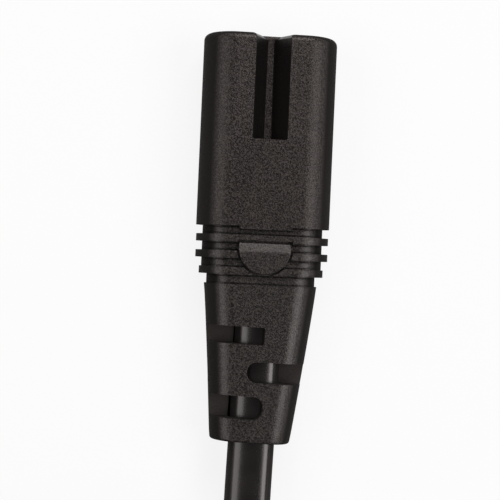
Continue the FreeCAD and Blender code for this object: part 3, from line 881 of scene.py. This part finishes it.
@dataclass(frozen=True)
class ConnectorMoulding:
    """The black moulding: figure-eight nose, ribbed collar with thumb pads, slotted boot."""

    place: Moulding = Moulding(0.0, 24.35, 4.0)
    width: float = 16.1
    thick: float = 8.0
    length: float = 22.95
    nose_round: float = 0.8
    notch_width: float = 4.2
    notch_length: float = 12.63
    notch_front_round: float = 0.2
    notch_rim_round: float = 0.12
    notch_end_round: float = 0.22
    flare: float = 0.45
    flare_width: float = 0.7
    notch_floor: float = 0.8
    web: float = 0.9
    groove_gap: float = 1.055
    rib_length: float = 0.87
    collar: tuple[float, float] = (14.5, 6.5)
    neck: tuple[float, float] = (13.1, 6.1)
    ribs: tuple[tuple[float, float], ...] = ((15.98, 8.0), (15.98, 8.0), (15.0, 7.4))
    rib_round: float = 0.07
    foot_width: float = 0.17
    foot_depth: float = 0.35
    tongue_width: float = 6.2
    tongue_reach: float = 0.33
    pad_radius: float = 3.115
    pad_start: float = 24.85
    pad_middle: float = 25.48
    pad_gap: float = 0.26
    pad_bevel: float = 0.95
    bevel_tilt: float = 20.0
    pad_round: float = 0.1
    pad_drop: float = 0.01
    pad_root: float = 0.4
    overlap: float = 0.5
    core_overlap: float = 0.1
    past_end: float = 1.0
    rib_margin: float = 0.3
    boot_start: float = 29.88
    boot_length: float = 18.82
    boot_top: tuple[float, float] = (13.62, 6.7)
    boot_end: tuple[float, float] = (9.7, 5.9)
    boot_round: float = 0.32
    boot_rings: int = 16
    boot_bends: tuple[tuple[float, float], ...] = (
        (1.0, 0.80), (3.2, 0.45), (6.5, 0.4), (10.5, 0.3), (14.8, 0.2)
    )
    contact_across: float = 4.3
    carrier_radius: float = 2.7
    carrier_length: float = 16.0
    crimp_radius: float = 1.3
    crimp_end: float = 20.0
    core_radius: float = 1.25
    core_across: float = 1.3
    sheath_start: float = 29.5
    cord_room: tuple[float, float] = (5.75, 3.8)
    slots: Slots = Slots(
        (35.95, 40.27, 44.54), (-1, 1, -1), (2.12, 2.5, 2.75), (0.6, 1.2, 1.0), (0.3, 1.2, 1.2), 8.0
    )

    def rings(self) -> list[Ring]:
        """Sections of the moulding, before it is cut.

        Returns:
            The sections, from the mating face to the cord's exit.
        """
        whole = Ring.stadium(0.0, self.width, self.thick)
        made = whole.rounded_start(self.nose_round)
        along = self.length
        made.append(Ring.stadium(along, self.width, self.thick))
        for rib in self.ribs:
            made += self.sunk(along, along + self.groove_gap, self.collar)
            along += self.groove_gap
            made.append(Ring.stadium(along, *rib))
            along += self.rib_length
            made.append(Ring.stadium(along, *rib))
        made += self.sunk(along, self.boot_start, self.neck)
        top = Ring.stadium(self.boot_start, *self.boot_top)
        end = Ring.stadium(self.boot_start + self.boot_length, *self.boot_end)
        made += top.steps_to(end, self.boot_rings)
        made += end.rounded_stop(self.boot_round)
        return made

    def sunk(self, start: float, stop: float, size: tuple[float, float]) -> list[Ring]:
        """Sections of a sunk band with a fine channel along the foot of each of its walls.

        Args:
            start: Distance of its first wall from the front face.
            stop: Distance of its second wall.
            size: Width and thickness of its floor.

        Returns:
            The sections, from wall to wall.
        """
        channel = (size[0], size[1] - 2 * self.foot_depth)
        foot = self.foot_width
        spots = ((start + STEP, channel), (start + foot, channel), (start + foot + STEP, size),
                 (stop - foot - STEP, size), (stop - foot, channel), (stop - STEP, channel))
        return [Ring.stadium(along, *section) for along, section in spots]

    def bend_boot(self, piece: bpy.types.Object) -> None:
        """Bend the soft boot a little to one side, as its cord pulls it, from its end to its top.

        Args:
            piece: The moulding, straight.
        """
        Bench.edit(piece)
        for past, degrees in reversed(self.boot_bends):
            joint = self.place.spot(self.boot_start + past)
            Bench.pick(piece, Element.VERT, lambda spot: spot.y < joint[1])
            bpy.ops.transform.rotate(
                value=math.radians(degrees), orient_axis="Z", center_override=metres(joint)
            )
        Bench.done()

    def notch_tool(self, face: int) -> bpy.types.Object:
        """The space between the lobes: a block drawn in at its foot and flared in front.

        Args:
            face: 1 for the upper face, -1 for the lower.

        Returns:
            The cutter.
        """
        foot = self.notch_floor / 2
        slope = (self.notch_width / 2 - foot) / (self.thick / 2 - self.web)
        half = foot + slope * (self.thick - self.web)
        ends = [
            self.place.spot(self.notch_length, -half, self.web * face),
            self.place.spot(self.flare, half, self.thick * face),
        ]
        tool = Bench.block("notch_tool", *ends)
        Bench.edit(tool)
        middle = metres(self.place.spot(0.0))
        back, front = ends[0][1], ends[1][1]
        Bench.pick(tool, Element.VERT, lambda spot: abs(spot.z - ends[0][2]) < SAME_PLACE)
        bpy.ops.transform.resize(value=(foot / half, 1.0, 1.0), center_override=middle)
        Bench.pick(tool, Element.FACE, lambda spot: abs(spot.y - front) < SAME_PLACE)
        bpy.ops.mesh.extrude_region_move(TRANSFORM_OT_translate={"value": (0.0, 2 * self.flare * MM, 0.0)})
        for size, level in ((foot, ends[0][2]), (half, ends[1][2])):
            Bench.pick(
                tool, Element.VERT, lambda spot: spot.y > front + STEP and abs(spot.z - level) < SAME_PLACE
            )
            wider = (size + 2 * self.flare_width) / size
            bpy.ops.transform.resize(value=(wider, 1.0, 1.0), center_override=middle)
        Bench.pick(
            tool, Element.EDGE,
            lambda spot: abs(spot.y - back) < SAME_PLACE and foot + STEP < abs(spot.x) < half - STEP,
        )
        Bench.round_selected(self.notch_end_round, 4)
        Bench.done()
        return tool

    def round_notch(self, piece: bpy.types.Object, face: int) -> None:
        """Round the notch's edges: widely at the mating face, finely along its rim.

        Args:
            piece: The moulding.
            face: 1 for the upper face, -1 for the lower.
        """
        front, half = self.place.front, self.notch_width / 2 + self.flare_width + STEP
        Bench.edit(piece)

        def in_notch(spot: Vector) -> bool:
            """Whether a point is in the notch or on its edge."""
            return abs(spot.x) < half and (spot.z - self.place.axis_z) * face > self.web - STEP

        Bench.pick_sharp(piece, lambda spot: in_notch(spot) and spot.y > front - self.nose_round + STEP, 25.0)
        Bench.round_selected(self.notch_front_round, 4)
        level = self.thick / 2 - STEP
        Bench.pick_sharp(
            piece, lambda spot: in_notch(spot) and (spot.z - self.place.axis_z) * face > level, 40.0
        )
        Bench.round_selected(self.notch_rim_round, 2)
        Bench.done()

    def half_moon(self, name: str, radius: float, start: float, floor: float, top: float) -> bpy.types.Object:
        """An upright half disc with its straight edge across the connector.

        Args:
            name: The piece's name.
            radius: Its radius.
            start: Distance of the straight edge from the front face.
            floor: Height of its lower face above the axis.
            top: Height of its upper face above the axis.

        Returns:
            The half disc.
        """
        ends = [self.place.spot(self.pad_middle, 0.0, height) for height in (floor, top)]
        disc = Bench.rod(name, *ends, radius)
        Bench.edit(disc)
        bpy.ops.mesh.select_all(action="SELECT")
        bpy.ops.mesh.bisect(
            plane_co=metres(self.place.spot(start)), plane_no=(0.0, 1.0, 0.0), use_fill=True, clear_outer=True
        )
        bpy.ops.mesh.select_all(action="SELECT")
        bpy.ops.mesh.normals_make_consistent(inside=False)
        Bench.done()
        return disc

    def add_pad(self, piece: bpy.types.Object, face: int) -> None:
        """Clear the ribs around the thumb pad, add the tongue above it and the pad itself.

        Args:
            piece: The moulding.
            face: 1 for the upper face, -1 for the lower.
        """
        spot = self.place.spot
        floor, above = self.collar[1] / 2 * face, self.thick * face
        top = (self.thick / 2 - self.pad_drop) * face
        room = self.half_moon(
            "pad_room", self.pad_radius + self.pad_gap, self.pad_start - self.pad_gap, floor, above
        )
        Bench.carve(piece, room)
        half = self.tongue_width / 2
        root = floor - self.pad_root * face
        stop = self.length + self.tongue_reach
        tongue = Bench.block("tongue", spot(stop, -half, root), spot(self.length - self.overlap, half, top))
        Bench.carve(piece, tongue, Carve.JOIN)
        bottom = floor - self.foot_depth * face
        channel = Bench.block("channel", spot(stop + self.foot_width, -half, bottom), spot(stop, half, above))
        Bench.carve(piece, channel)
        pad = self.half_moon("thumb_pad", self.pad_radius, self.pad_start, root, top)
        Bench.edit(pad)
        edge_y = self.place.front - self.pad_start
        level = self.place.axis_z + top
        tilt = math.radians(self.bevel_tilt)
        bpy.ops.mesh.select_all(action="SELECT")
        bpy.ops.mesh.bisect(
            plane_co=metres((0.0, edge_y - self.pad_bevel, level)),
            plane_no=(0.0, math.sin(tilt), math.cos(tilt) * face), use_fill=True, clear_outer=True,
        )
        above_floor = abs(floor) + self.pad_round
        Bench.pick_sharp(pad, lambda place: (place.z - self.place.axis_z) * face > above_floor, 50.0)
        Bench.round_selected(self.pad_round, 2)
        Bench.done()
        Bench.carve(piece, pad, Carve.JOIN)

    def cut_rooms(self, piece: bpy.types.Object) -> None:
        """Open the seats of the insert, the crimps, the cores and the cord.

        Args:
            piece: The moulding.
        """
        spot = self.place.spot
        for side in UP_AND_DOWN:
            across = side * self.contact_across
            core_start = spot(self.crimp_end - self.core_overlap, across)
            core_stop = spot(self.sheath_start + self.core_overlap, side * self.core_across)
            bores = (
                (spot(-self.past_end, across), spot(self.carrier_length, across), self.carrier_radius),
                (spot(self.carrier_length - self.overlap, across), spot(self.crimp_end, across),
                 self.crimp_radius),
                (core_start, core_stop, self.core_radius),
            )
            for start, stop, radius in bores:
                Bench.carve(piece, Bench.rod("bore", start, stop, radius))
        start = Ring.stadium(self.sheath_start, *self.cord_room)
        past_end = Ring.stadium(self.boot_start + self.boot_length + self.past_end, *self.cord_room)
        room = [*start.steps_to(past_end, self.boot_rings), past_end]
        Bench.carve(piece, self.place.grow("cord_room", room))

    def build(self) -> bpy.types.Object:
        """Model the moulding.

        Returns:
            The finished piece.
        """
        piece = self.place.grow("connector_moulding", self.rings())
        Bench.edit(piece)
        behind = self.place.front - self.length + self.rib_margin
        Bench.pick_sharp(piece, lambda spot: spot.y < behind)
        Bench.round_selected(self.rib_round, 2)
        Bench.done()
        for face in UP_AND_DOWN:
            Bench.carve(piece, self.notch_tool(face))
            self.round_notch(piece, face)
            self.add_pad(piece, face)
        self.slots.cut(piece, self.place)
        self.cut_rooms(piece)
        self.bend_boot(piece)
        Bench.merge(piece)
        Bench.smooth(piece)
        return piece


@dataclass(frozen=True)
class PlugMoulding:
    """The plug's moulding: square rim, ribbed grip and slotted boot."""

    place: Moulding = Moulding(-65.0, 5.0, 6.75)
    corner: float = 3.0
    rim: tuple[float, float] = (20.0, 13.5)
    rim_length: float = 6.0
    rim_round: float = 0.6
    grip: tuple[float, float] = (17.0, 11.5)
    grip_end: tuple[float, float] = (13.5, 9.5)
    grip_length: float = 16.0
    groove_count: int = 4
    groove_start: float = 2.6
    groove_pitch: float = 3.2
    groove_length: float = 1.2
    groove_depth: float = 0.7
    groove_reach: float = 5.25
    groove_rounding: float = 0.48
    groove_room: float = 2.0
    past_end: float = 1.0
    boot_top: tuple[float, float] = (10.6, 7.4)
    boot_end: tuple[float, float] = (8.8, 6.2)
    boot_length: float = 16.0
    boot_round: float = 0.5
    boot_rings: int = 12
    holder: tuple[float, float] = (16.6, 9.0)
    holder_length: float = 7.0
    sheath_start: float = 20.0
    cord_room: tuple[float, float] = (5.7, 3.6)
    slots: Slots = Slots(
        (25.4, 29.6, 33.8), (-1, 1, -1), (2.2, 2.2, 2.2), (1.0, 1.0, 1.0), (1.05, 1.05, 1.05), 7.0
    )

    def rings(self) -> list[Ring]:
        """Sections of the moulding, before it is cut.

        Returns:
            The sections, from the plug's face to the cord's exit.
        """
        rim = Ring(0.0, *self.rim, self.corner)
        made = rim.rounded_start(self.rim_round)
        made += Ring(self.rim_length, *self.rim, self.corner).rounded_stop(self.rim_round)
        grip_stop = self.rim_length + self.grip_length
        grip = Ring(self.rim_length + STEP, *self.grip, self.corner)
        grip_end = Ring(grip_stop, *self.grip_end, self.corner)
        made += grip.steps_to(grip_end, self.boot_rings)
        made += grip_end.rounded_stop(self.rim_round)
        top = Ring.stadium(grip_stop + STEP, *self.boot_top)
        end = Ring.stadium(grip_stop + self.boot_length, *self.boot_end)
        made += top.steps_to(end, self.boot_rings)
        made += end.rounded_stop(self.boot_round)
        return made

    def groove_tool(self, index: int, face: int) -> bpy.types.Object:
        """A round-ended bar that presses one finger groove.

        Args:
            index: Which groove, from the rim.
            face: 1 for the upper face, -1 for the lower.

        Returns:
            The cutter.
        """
        into = self.groove_start + self.groove_pitch * index
        along = self.rim_length + into
        share = into / self.grip_length
        surface = (self.grip[1] + (self.grip_end[1] - self.grip[1]) * share) / 2
        floor, above = (surface - self.groove_depth) * face, (surface + self.groove_room) * face
        ends = [
            self.place.spot(along + self.groove_length, -self.groove_reach, floor),
            self.place.spot(along, self.groove_reach, above),
        ]
        tool = Bench.block("groove_tool", *ends)
        Bench.edit(tool)
        level = (ends[0][2] + ends[1][2]) / 2
        Bench.pick(tool, Element.EDGE, lambda spot: abs(spot.z - level) < SAME_PLACE)
        Bench.round_selected(self.groove_length * self.groove_rounding, 6)
        Bench.done()
        return tool

    def build(self) -> bpy.types.Object:
        """Model the moulding.

        Returns:
            The finished piece.
        """
        piece = self.place.grow("plug_moulding", self.rings())
        for face in UP_AND_DOWN:
            for index in range(self.groove_count):
                Bench.carve(piece, self.groove_tool(index, face))
        self.slots.cut(piece, self.place)
        half_x, half_z = self.holder[0] / 2, self.holder[1] / 2
        seat = Bench.block(
            "holder_seat", self.place.spot(self.holder_length, -half_x, -half_z),
            self.place.spot(-self.past_end, half_x, half_z),
        )
        Bench.carve(piece, seat)
        past_end = self.rim_length + self.grip_length + self.boot_length + self.past_end
        room = [Ring.stadium(along, *self.cord_room) for along in (self.sheath_start, past_end)]
        Bench.carve(piece, self.place.grow("cord_room", room))
        Bench.merge(piece)
        Bench.smooth(piece)
        return piece


@dataclass(frozen=True)
class CoilTie:
    """A wire tie bent round the coil, its ends twisted together inside it."""

    across: tuple[float, float] = (-33.6, -29.6)
    far_y: float = -104.85
    near_y: float = -87.44
    top_z: float = 12.35
    wall: float = 0.4
    corner: float = 2.0
    edge_round: float = 0.12
    past_side: float = 1.0
    wire_radius: float = 0.44
    wire_points: int = 14
    twist_stop: float = -74.44
    twist_turns: float = 3.5
    twist_cuts: int = 48

    def hoop(self, name: str, inset: float, overhang: float) -> bpy.types.Object:
        """A block with its four long edges rounded.

        Args:
            name: The piece's name.
            inset: How far it is drawn in all round.
            overhang: How far it sticks out past the band's two sides.

        Returns:
            The block.
        """
        low = (self.across[0] - overhang, self.far_y + inset, inset)
        high = (self.across[1] + overhang, self.near_y - inset, self.top_z - inset)
        block = Bench.block(name, low, high)
        Bench.edit(block)
        middle = sum(self.across) / 2
        Bench.pick(block, Element.EDGE, lambda spot: abs(spot.x - middle) < SAME_PLACE)
        Bench.round_selected(self.corner - inset, 8)
        Bench.done()
        return block

    def twisted(self) -> bpy.types.Object:
        """The two ends of the tie, twisted round each other.

        Returns:
            Both wires as one piece.
        """
        middle_x = sum(self.across) / 2
        level = self.top_z / 2
        start = self.near_y - self.wall / 2
        wires = []
        for side in UP_AND_DOWN:
            across = middle_x + side * self.wire_radius
            wires.append(Bench.rod(
                "tie_end", (across, start, level), (across, self.twist_stop, level), self.wire_radius,
                self.wire_points,
            ))
        Bench.hold(wires[0])
        wires[1].select_set(True)
        bpy.ops.object.join()
        pair = wires[0]
        Bench.edit(pair)
        halfway = (start + self.twist_stop) / 2
        Bench.pick(pair, Element.EDGE, lambda spot: abs(spot.y - halfway) < SAME_PLACE)
        bpy.ops.mesh.subdivide(number_cuts=self.twist_cuts)
        run = (self.twist_stop - start) / (self.twist_cuts + 1)
        for index in range(self.twist_cuts + 2):
            place = start + run * index
            Bench.pick(pair, Element.VERT, lambda spot: abs(spot.y - place) < SAME_PLACE)
            bpy.ops.transform.rotate(
                value=math.tau * self.twist_turns * index / (self.twist_cuts + 1), orient_axis="Y",
                center_override=metres((middle_x, place, level)),
            )
        Bench.done()
        return pair

    def build(self) -> bpy.types.Object:
        """Model the tie.

        Returns:
            The finished piece.
        """
        band = self.hoop("coil_tie_band", 0.0, 0.0)
        Bench.carve(band, self.hoop("inside", self.wall, self.past_side))
        Bench.edit(band)
        Bench.pick_sharp(band, lambda spot: True, 60.0)
        Bench.round_selected(self.edge_round, 2)
        Bench.done()
        Bench.carve(band, self.twisted(), Carve.JOIN)
        Bench.merge(band)
        Bench.smooth(band)
        return band


@dataclass(frozen=True)
class FlatCord:
    """The flat cord: out of the boot, round the coil in two layers, and into the plug."""

    width: float = 5.6
    thick: float = 3.5
    exit: Point = (0.0, -24.35, 4.0)
    lead: tuple[Point, ...] = (
        (0.0, -5.15, 4.0), (-0.04, -14.0, 4.0), (-0.26, -24.35, 4.0), (-0.5, -34.0, 4.0), (-0.3, -54.0, 3.25),
        (0.0, -69.15, 3.25),
    )
    tail: tuple[Point, ...] = (
        (-65.0, -69.15, 8.95), (-65.0, -56.0, 8.95), (-65.0, -41.0, 6.75), (-65.0, -15.0, 6.75),
    )
    centre: tuple[float, float] = (-31.6, -69.15)
    outer_turn: float = 31.6
    pitch: float = 3.6
    layer_turns: float = 3.0
    turns: float = 6.5
    turn_points: int = 16
    climb: float = 0.15
    exit_roll: float = -7.0
    twist_lead: tuple[float, float] = (31.0, 60.0)
    twist_tail: tuple[float, float] = (23.0, 50.0)
    crown: float = 16.0
    crown_points: int = 6
    arc_points: int = 10
    steps: int = 8
    sharp_edge: float = 50.0

    def coil_points(self) -> list[Point]:
        """Points of the spiral, inwards on the lower layer and outwards on the upper.

        Returns:
            Points in millimetres.
        """
        low, high = self.lead[-1][2], self.tail[0][2]
        spread = 1.0 / math.cos(math.pi / self.turn_points)
        made = []
        for index in range(1, round(self.turns * self.turn_points)):
            turn = index / self.turn_points
            radius = self.outer_turn - self.pitch * (self.layer_turns - abs(turn - self.layer_turns))
            angle = -math.tau * turn
            share = min(max((turn - self.layer_turns) / (2 * self.climb) + 0.5, 0.0), 1.0)
            made.append((
                self.centre[0] + spread * radius * math.cos(angle),
                self.centre[1] + spread * radius * math.sin(angle),
                low + (high - low) * share,
            ))
        return made

    def line(self) -> list[Vector]:
        """Points along the smooth line of the cord.

        Returns:
            Points in metres, read from the route's spline.
        """
        route = [*self.lead, *self.coil_points(), *self.tail]
        curve = bpy.data.curves.new("cord_route", "CURVE")
        curve.dimensions = "3D"
        curve.resolution_u = self.steps
        spline = curve.splines.new("NURBS")
        spline.points.add(len(route) - 1)
        for point, spot in zip(spline.points, route):
            point.co = (*metres(spot), 1.0)
        spline.order_u = 3
        spline.use_endpoint_u = True
        holder = bpy.data.objects.new("cord_route", curve)
        mesh = bpy.data.meshes.new_from_object(holder)
        points = [vert.co.copy() for vert in mesh.vertices]
        bpy.data.objects.remove(holder)
        bpy.data.curves.remove(curve)
        bpy.data.meshes.remove(mesh)
        return points

    def section(self) -> list[tuple[float, float]]:
        """Corners around the flat cord, with crowned faces and round sides.

        Returns:
            Places across its width and its thickness, in metres.
        """
        turn = math.radians(self.crown)
        apart = (self.width - self.thick) / 2 / (math.sin(turn) + math.cos(turn) - 1.0)
        small = self.thick / 2 - apart * (1.0 - math.cos(turn))
        large = small + apart
        made = []
        for side in UP_AND_DOWN:
            for index in range(self.arc_points + 1):
                angle = (math.pi - 2 * turn) * (index / self.arc_points - 0.5)
                across = apart * math.sin(turn) + small * math.cos(angle)
                made.append((side * across * MM, side * small * math.sin(angle) * MM))
            for index in range(1, self.crown_points):
                angle = turn * (1.0 - 2.0 * index / self.crown_points)
                up = self.thick / 2 - large * (1.0 - math.cos(angle))
                made.append((side * large * math.sin(angle) * MM, side * up * MM))
        return made

    def twist(self, gone: float, left: float) -> float:
        """How far the cord has turned onto its edge.

        Args:
            gone: Length from its start, millimetres.
            left: Length to its end, millimetres.

        Returns:
            The angle, 0 where it lies flat.
        """
        shares = []
        for length, (start, stop) in ((gone, self.twist_lead), (left, self.twist_tail)):
            share = min(max((length - start) / (stop - start), 0.0), 1.0)
            shares.append(share * share * (3.0 - 2.0 * share))
        roll = math.radians(self.exit_roll) * (1.0 - shares[0])
        return math.pi / 2 * min(shares) + roll

    def build(self) -> tuple[bpy.types.Object, list[Vector], float]:
        """Sweep the section along the line.

        Returns:
            The cord, the points of its line and its length in metres.
        """
        line = self.line()
        lengths = [0.0]
        for before, after in zip(line, line[1:]):
            lengths.append(lengths[-1] + (after - before).length)
        section = self.section()
        count = len(section)
        verts: list[Vector] = []
        for index, point in enumerate(line):
            ahead = (line[min(index + 1, len(line) - 1)] - line[max(index - 1, 0)]).normalized()
            side = ahead.cross(Vector((0.0, 0.0, 1.0))).normalized()
            over = side.cross(ahead)
            angle = self.twist(lengths[index] / MM, (lengths[-1] - lengths[index]) / MM)
            wide = side * math.cos(angle) + over * math.sin(angle)
            deep = over * math.cos(angle) - side * math.sin(angle)
            verts += [point + wide * across + deep * up for across, up in section]
        faces = []
        for start in range(0, (len(line) - 1) * count, count):
            for corner in range(count):
                after = (corner + 1) % count
                faces.append((start + corner, start + after, start + count + after, start + count + corner))
        faces += [tuple(range(count)), tuple(range(len(verts) - count, len(verts)))]
        mesh = bpy.data.meshes.new("cord")
        mesh.from_pydata(verts, [], faces)
        cord = bpy.data.objects.new("cord", mesh)
        bpy.context.scene.collection.objects.link(cord)
        Bench.edit(cord)
        bpy.ops.mesh.select_all(action="SELECT")
        bpy.ops.mesh.normals_make_consistent(inside=False)
        Bench.done()
        Bench.hold(cord)
        bpy.ops.object.shade_smooth_by_angle(angle=math.radians(self.sharp_edge))
        return cord, line, lengths[-1]


@dataclass(frozen=True)
class SoftBox:
    """A rectangular studio lamp."""

    name: str
    spot: Point
    size: tuple[float, float]
    power: float
    aim: Point = (0.0, 0.0, 4.0)

    def build(self) -> None:
        """Hang the lamp."""
        lamp = bpy.data.lights.new(self.name, "AREA")
        lamp.shape = "RECTANGLE"
        lamp.size, lamp.size_y = self.size[0] * MM, self.size[1] * MM
        lamp.energy = self.power
        holder = bpy.data.objects.new(self.name, lamp)
        holder.location = metres(self.spot)
        holder.rotation_euler = (metres(self.aim) - metres(self.spot)).to_track_quat("-Z", "Y").to_euler()
        bpy.context.scene.collection.objects.link(holder)


@dataclass(frozen=True)
class Studio:
    """Pale floor, soft lamps and the camera over the connector."""

    target: Point = (-1.79, -1.42, 8.0)
    distance: float = 160.0
    span: float = 58.85
    yaw: float = -5.35
    pitch: float = 0.25
    roll: float = 2.56
    sensor: float = 36.0
    clip: Span = (0.005, 10.0)
    floor_size: float = 3000.0
    floor_gap: float = 0.05
    floor_pale: Colour = (0.92, 0.92, 0.92)
    floor_glow: float = 0.85
    world_level: float = 0.10
    boxes: tuple[SoftBox, ...] = (
        SoftBox("left_box", (-350.0, -25.0, 340.0), (500.0, 240.0), 0.82),
        SoftBox("right_box", (325.0, -20.0, 350.0), (340.0, 240.0), 1.02),
        SoftBox("top_box", (40.0, 330.0, 330.0), (300.0, 160.0), 1.1),
    )

    def pale(self, graph: Graph) -> Signal:
        """Which rays show the backdrop straight, in a mirror or through glass.

        Args:
            graph: The material's nodes.

        Returns:
            1 for those rays, 0 for the rest.
        """
        rays = graph.node("ShaderNodeLightPath")
        names = ("Is Camera Ray", "Is Glossy Ray", "Is Transmission Ray")
        camera, glossy, through = (Signal(graph, rays.outputs[name]) for name in names)
        return (camera + glossy + through).clamp()

    def build_floor(self) -> None:
        """Lay the floor."""
        Bench.clear()
        bpy.ops.mesh.primitive_plane_add(size=self.floor_size * MM, location=(0.0, 0.0, -self.floor_gap * MM))
        floor = Bench.settle("floor")
        graph = Graph("pale_floor")
        shown = self.pale(graph)
        matt = graph.signal("ShaderNodeBsdfDiffuse", "BSDF", None, {"Color": (*self.floor_pale, 1.0)})
        white = {"Color": (1.0, 1.0, 1.0, 1.0), "Strength": 1.0}
        glow = graph.signal("ShaderNodeEmission", "Emission", None, white)
        mixed = graph.signal("ShaderNodeMixShader", 0, None, {0: shown * self.floor_glow, 1: matt, 2: glow})
        graph.node("ShaderNodeOutputMaterial", None, {"Surface": mixed})
        floor.data.materials.append(graph.material)

    def build_world(self) -> None:
        """Surround the scene with soft white."""
        world = bpy.data.worlds.new("soft_white")
        world.use_nodes = True
        background = world.node_tree.nodes["Background"]
        background.inputs["Color"].default_value = (1.0, 1.0, 1.0, 1.0)
        background.inputs["Strength"].default_value = self.world_level
        bpy.context.scene.world = world

    def build_camera(self) -> None:
        """Set the camera over the connector at the photograph's angle."""
        yaw, pitch, roll = (math.radians(angle) for angle in (self.yaw, self.pitch, self.roll))
        back = Vector((math.sin(yaw) * math.cos(pitch), -math.sin(pitch), math.cos(yaw) * math.cos(pitch)))
        up = Vector((-math.sin(roll), math.cos(roll), 0.0))
        right = up.cross(back).normalized()
        up = back.cross(right).normalized()
        lens = bpy.data.cameras.new("camera")
        lens.sensor_width = self.sensor
        lens.lens = self.sensor * self.distance / self.span
        lens.clip_start, lens.clip_end = self.clip
        camera = bpy.data.objects.new("camera", lens)
        turn = Matrix((right, up, back)).transposed().to_4x4()
        camera.matrix_world = Matrix.Translation(metres(self.target) + back * self.distance * MM) @ turn
        bpy.context.scene.collection.objects.link(camera)
        bpy.context.scene.camera = camera

    def build(self) -> None:
        """Set up floor, world, lamps and camera."""
        self.build_floor()
        self.build_world()
        for box in self.boxes:
            box.build()
        self.build_camera()
        bpy.context.scene.view_settings.view_transform = "Standard"


@dataclass(frozen=True)
class Lead:
    """The whole lead: the modelled pieces and the CAD nodes that stay."""

    connector: ConnectorMoulding = ConnectorMoulding()
    plug: PlugMoulding = PlugMoulding()
    tie: CoilTie = CoilTie()
    cord: FlatCord = FlatCord()
    kept: tuple[tuple[str, str], ...] = (
        ("contact_carrier", "insert"), ("contact_live", "contact"), ("contact_neutral", "contact"),
        ("conductor_live", "conductor"), ("conductor_neutral", "conductor"),
        ("core_live", "core_live"), ("core_neutral", "core_neutral"),
        ("blade_holder", "insert"), ("blade_live", "blade"), ("blade_neutral", "blade"),
        ("plug_conductor_live", "conductor"), ("plug_conductor_neutral", "conductor"),
        ("plug_core_live", "core_live"), ("plug_core_neutral", "core_neutral"),
    )
    on_cord: tuple[str, ...] = (
        "blade_holder", "blade_live", "blade_neutral", "plug_conductor_live", "plug_conductor_neutral",
        "plug_core_live", "plug_core_neutral",
    )

    def build(self, finishes: Finishes) -> None:
        """Model and dress every piece.

        Args:
            finishes: The materials.
        """
        finishes.enter(self.connector.build(), "moulding", "connector_body")
        plug = finishes.enter(self.plug.build(), "moulding", "plug_body")
        tie = finishes.enter(self.tie.build(), "tie", "coil_tie")
        cord, line, length = self.cord.build()
        finishes.enter(cord, "cord", "cord_lead", "cord_coil", "cord_tail")
        for name, slot in self.kept:
            finishes.coat(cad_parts[name], slot)
            LOG.info("%s: CAD node, finish of %s", name, slot)
        riders = [plug, tie, *(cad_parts[name] for name in self.on_cord)]
        metres(self.cord.exit)
        self.cord.width * MM
        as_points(line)
        LOG.info("cord: %.3f m long", length)


def main() -> None:
    """Build the lead and the studio."""
    logging.basicConfig(level=logging.INFO, format="%(name)s: %(message)s")
    Lead().build(Finishes())
    Studio().build()


if __name__ == "__main__":
    main()
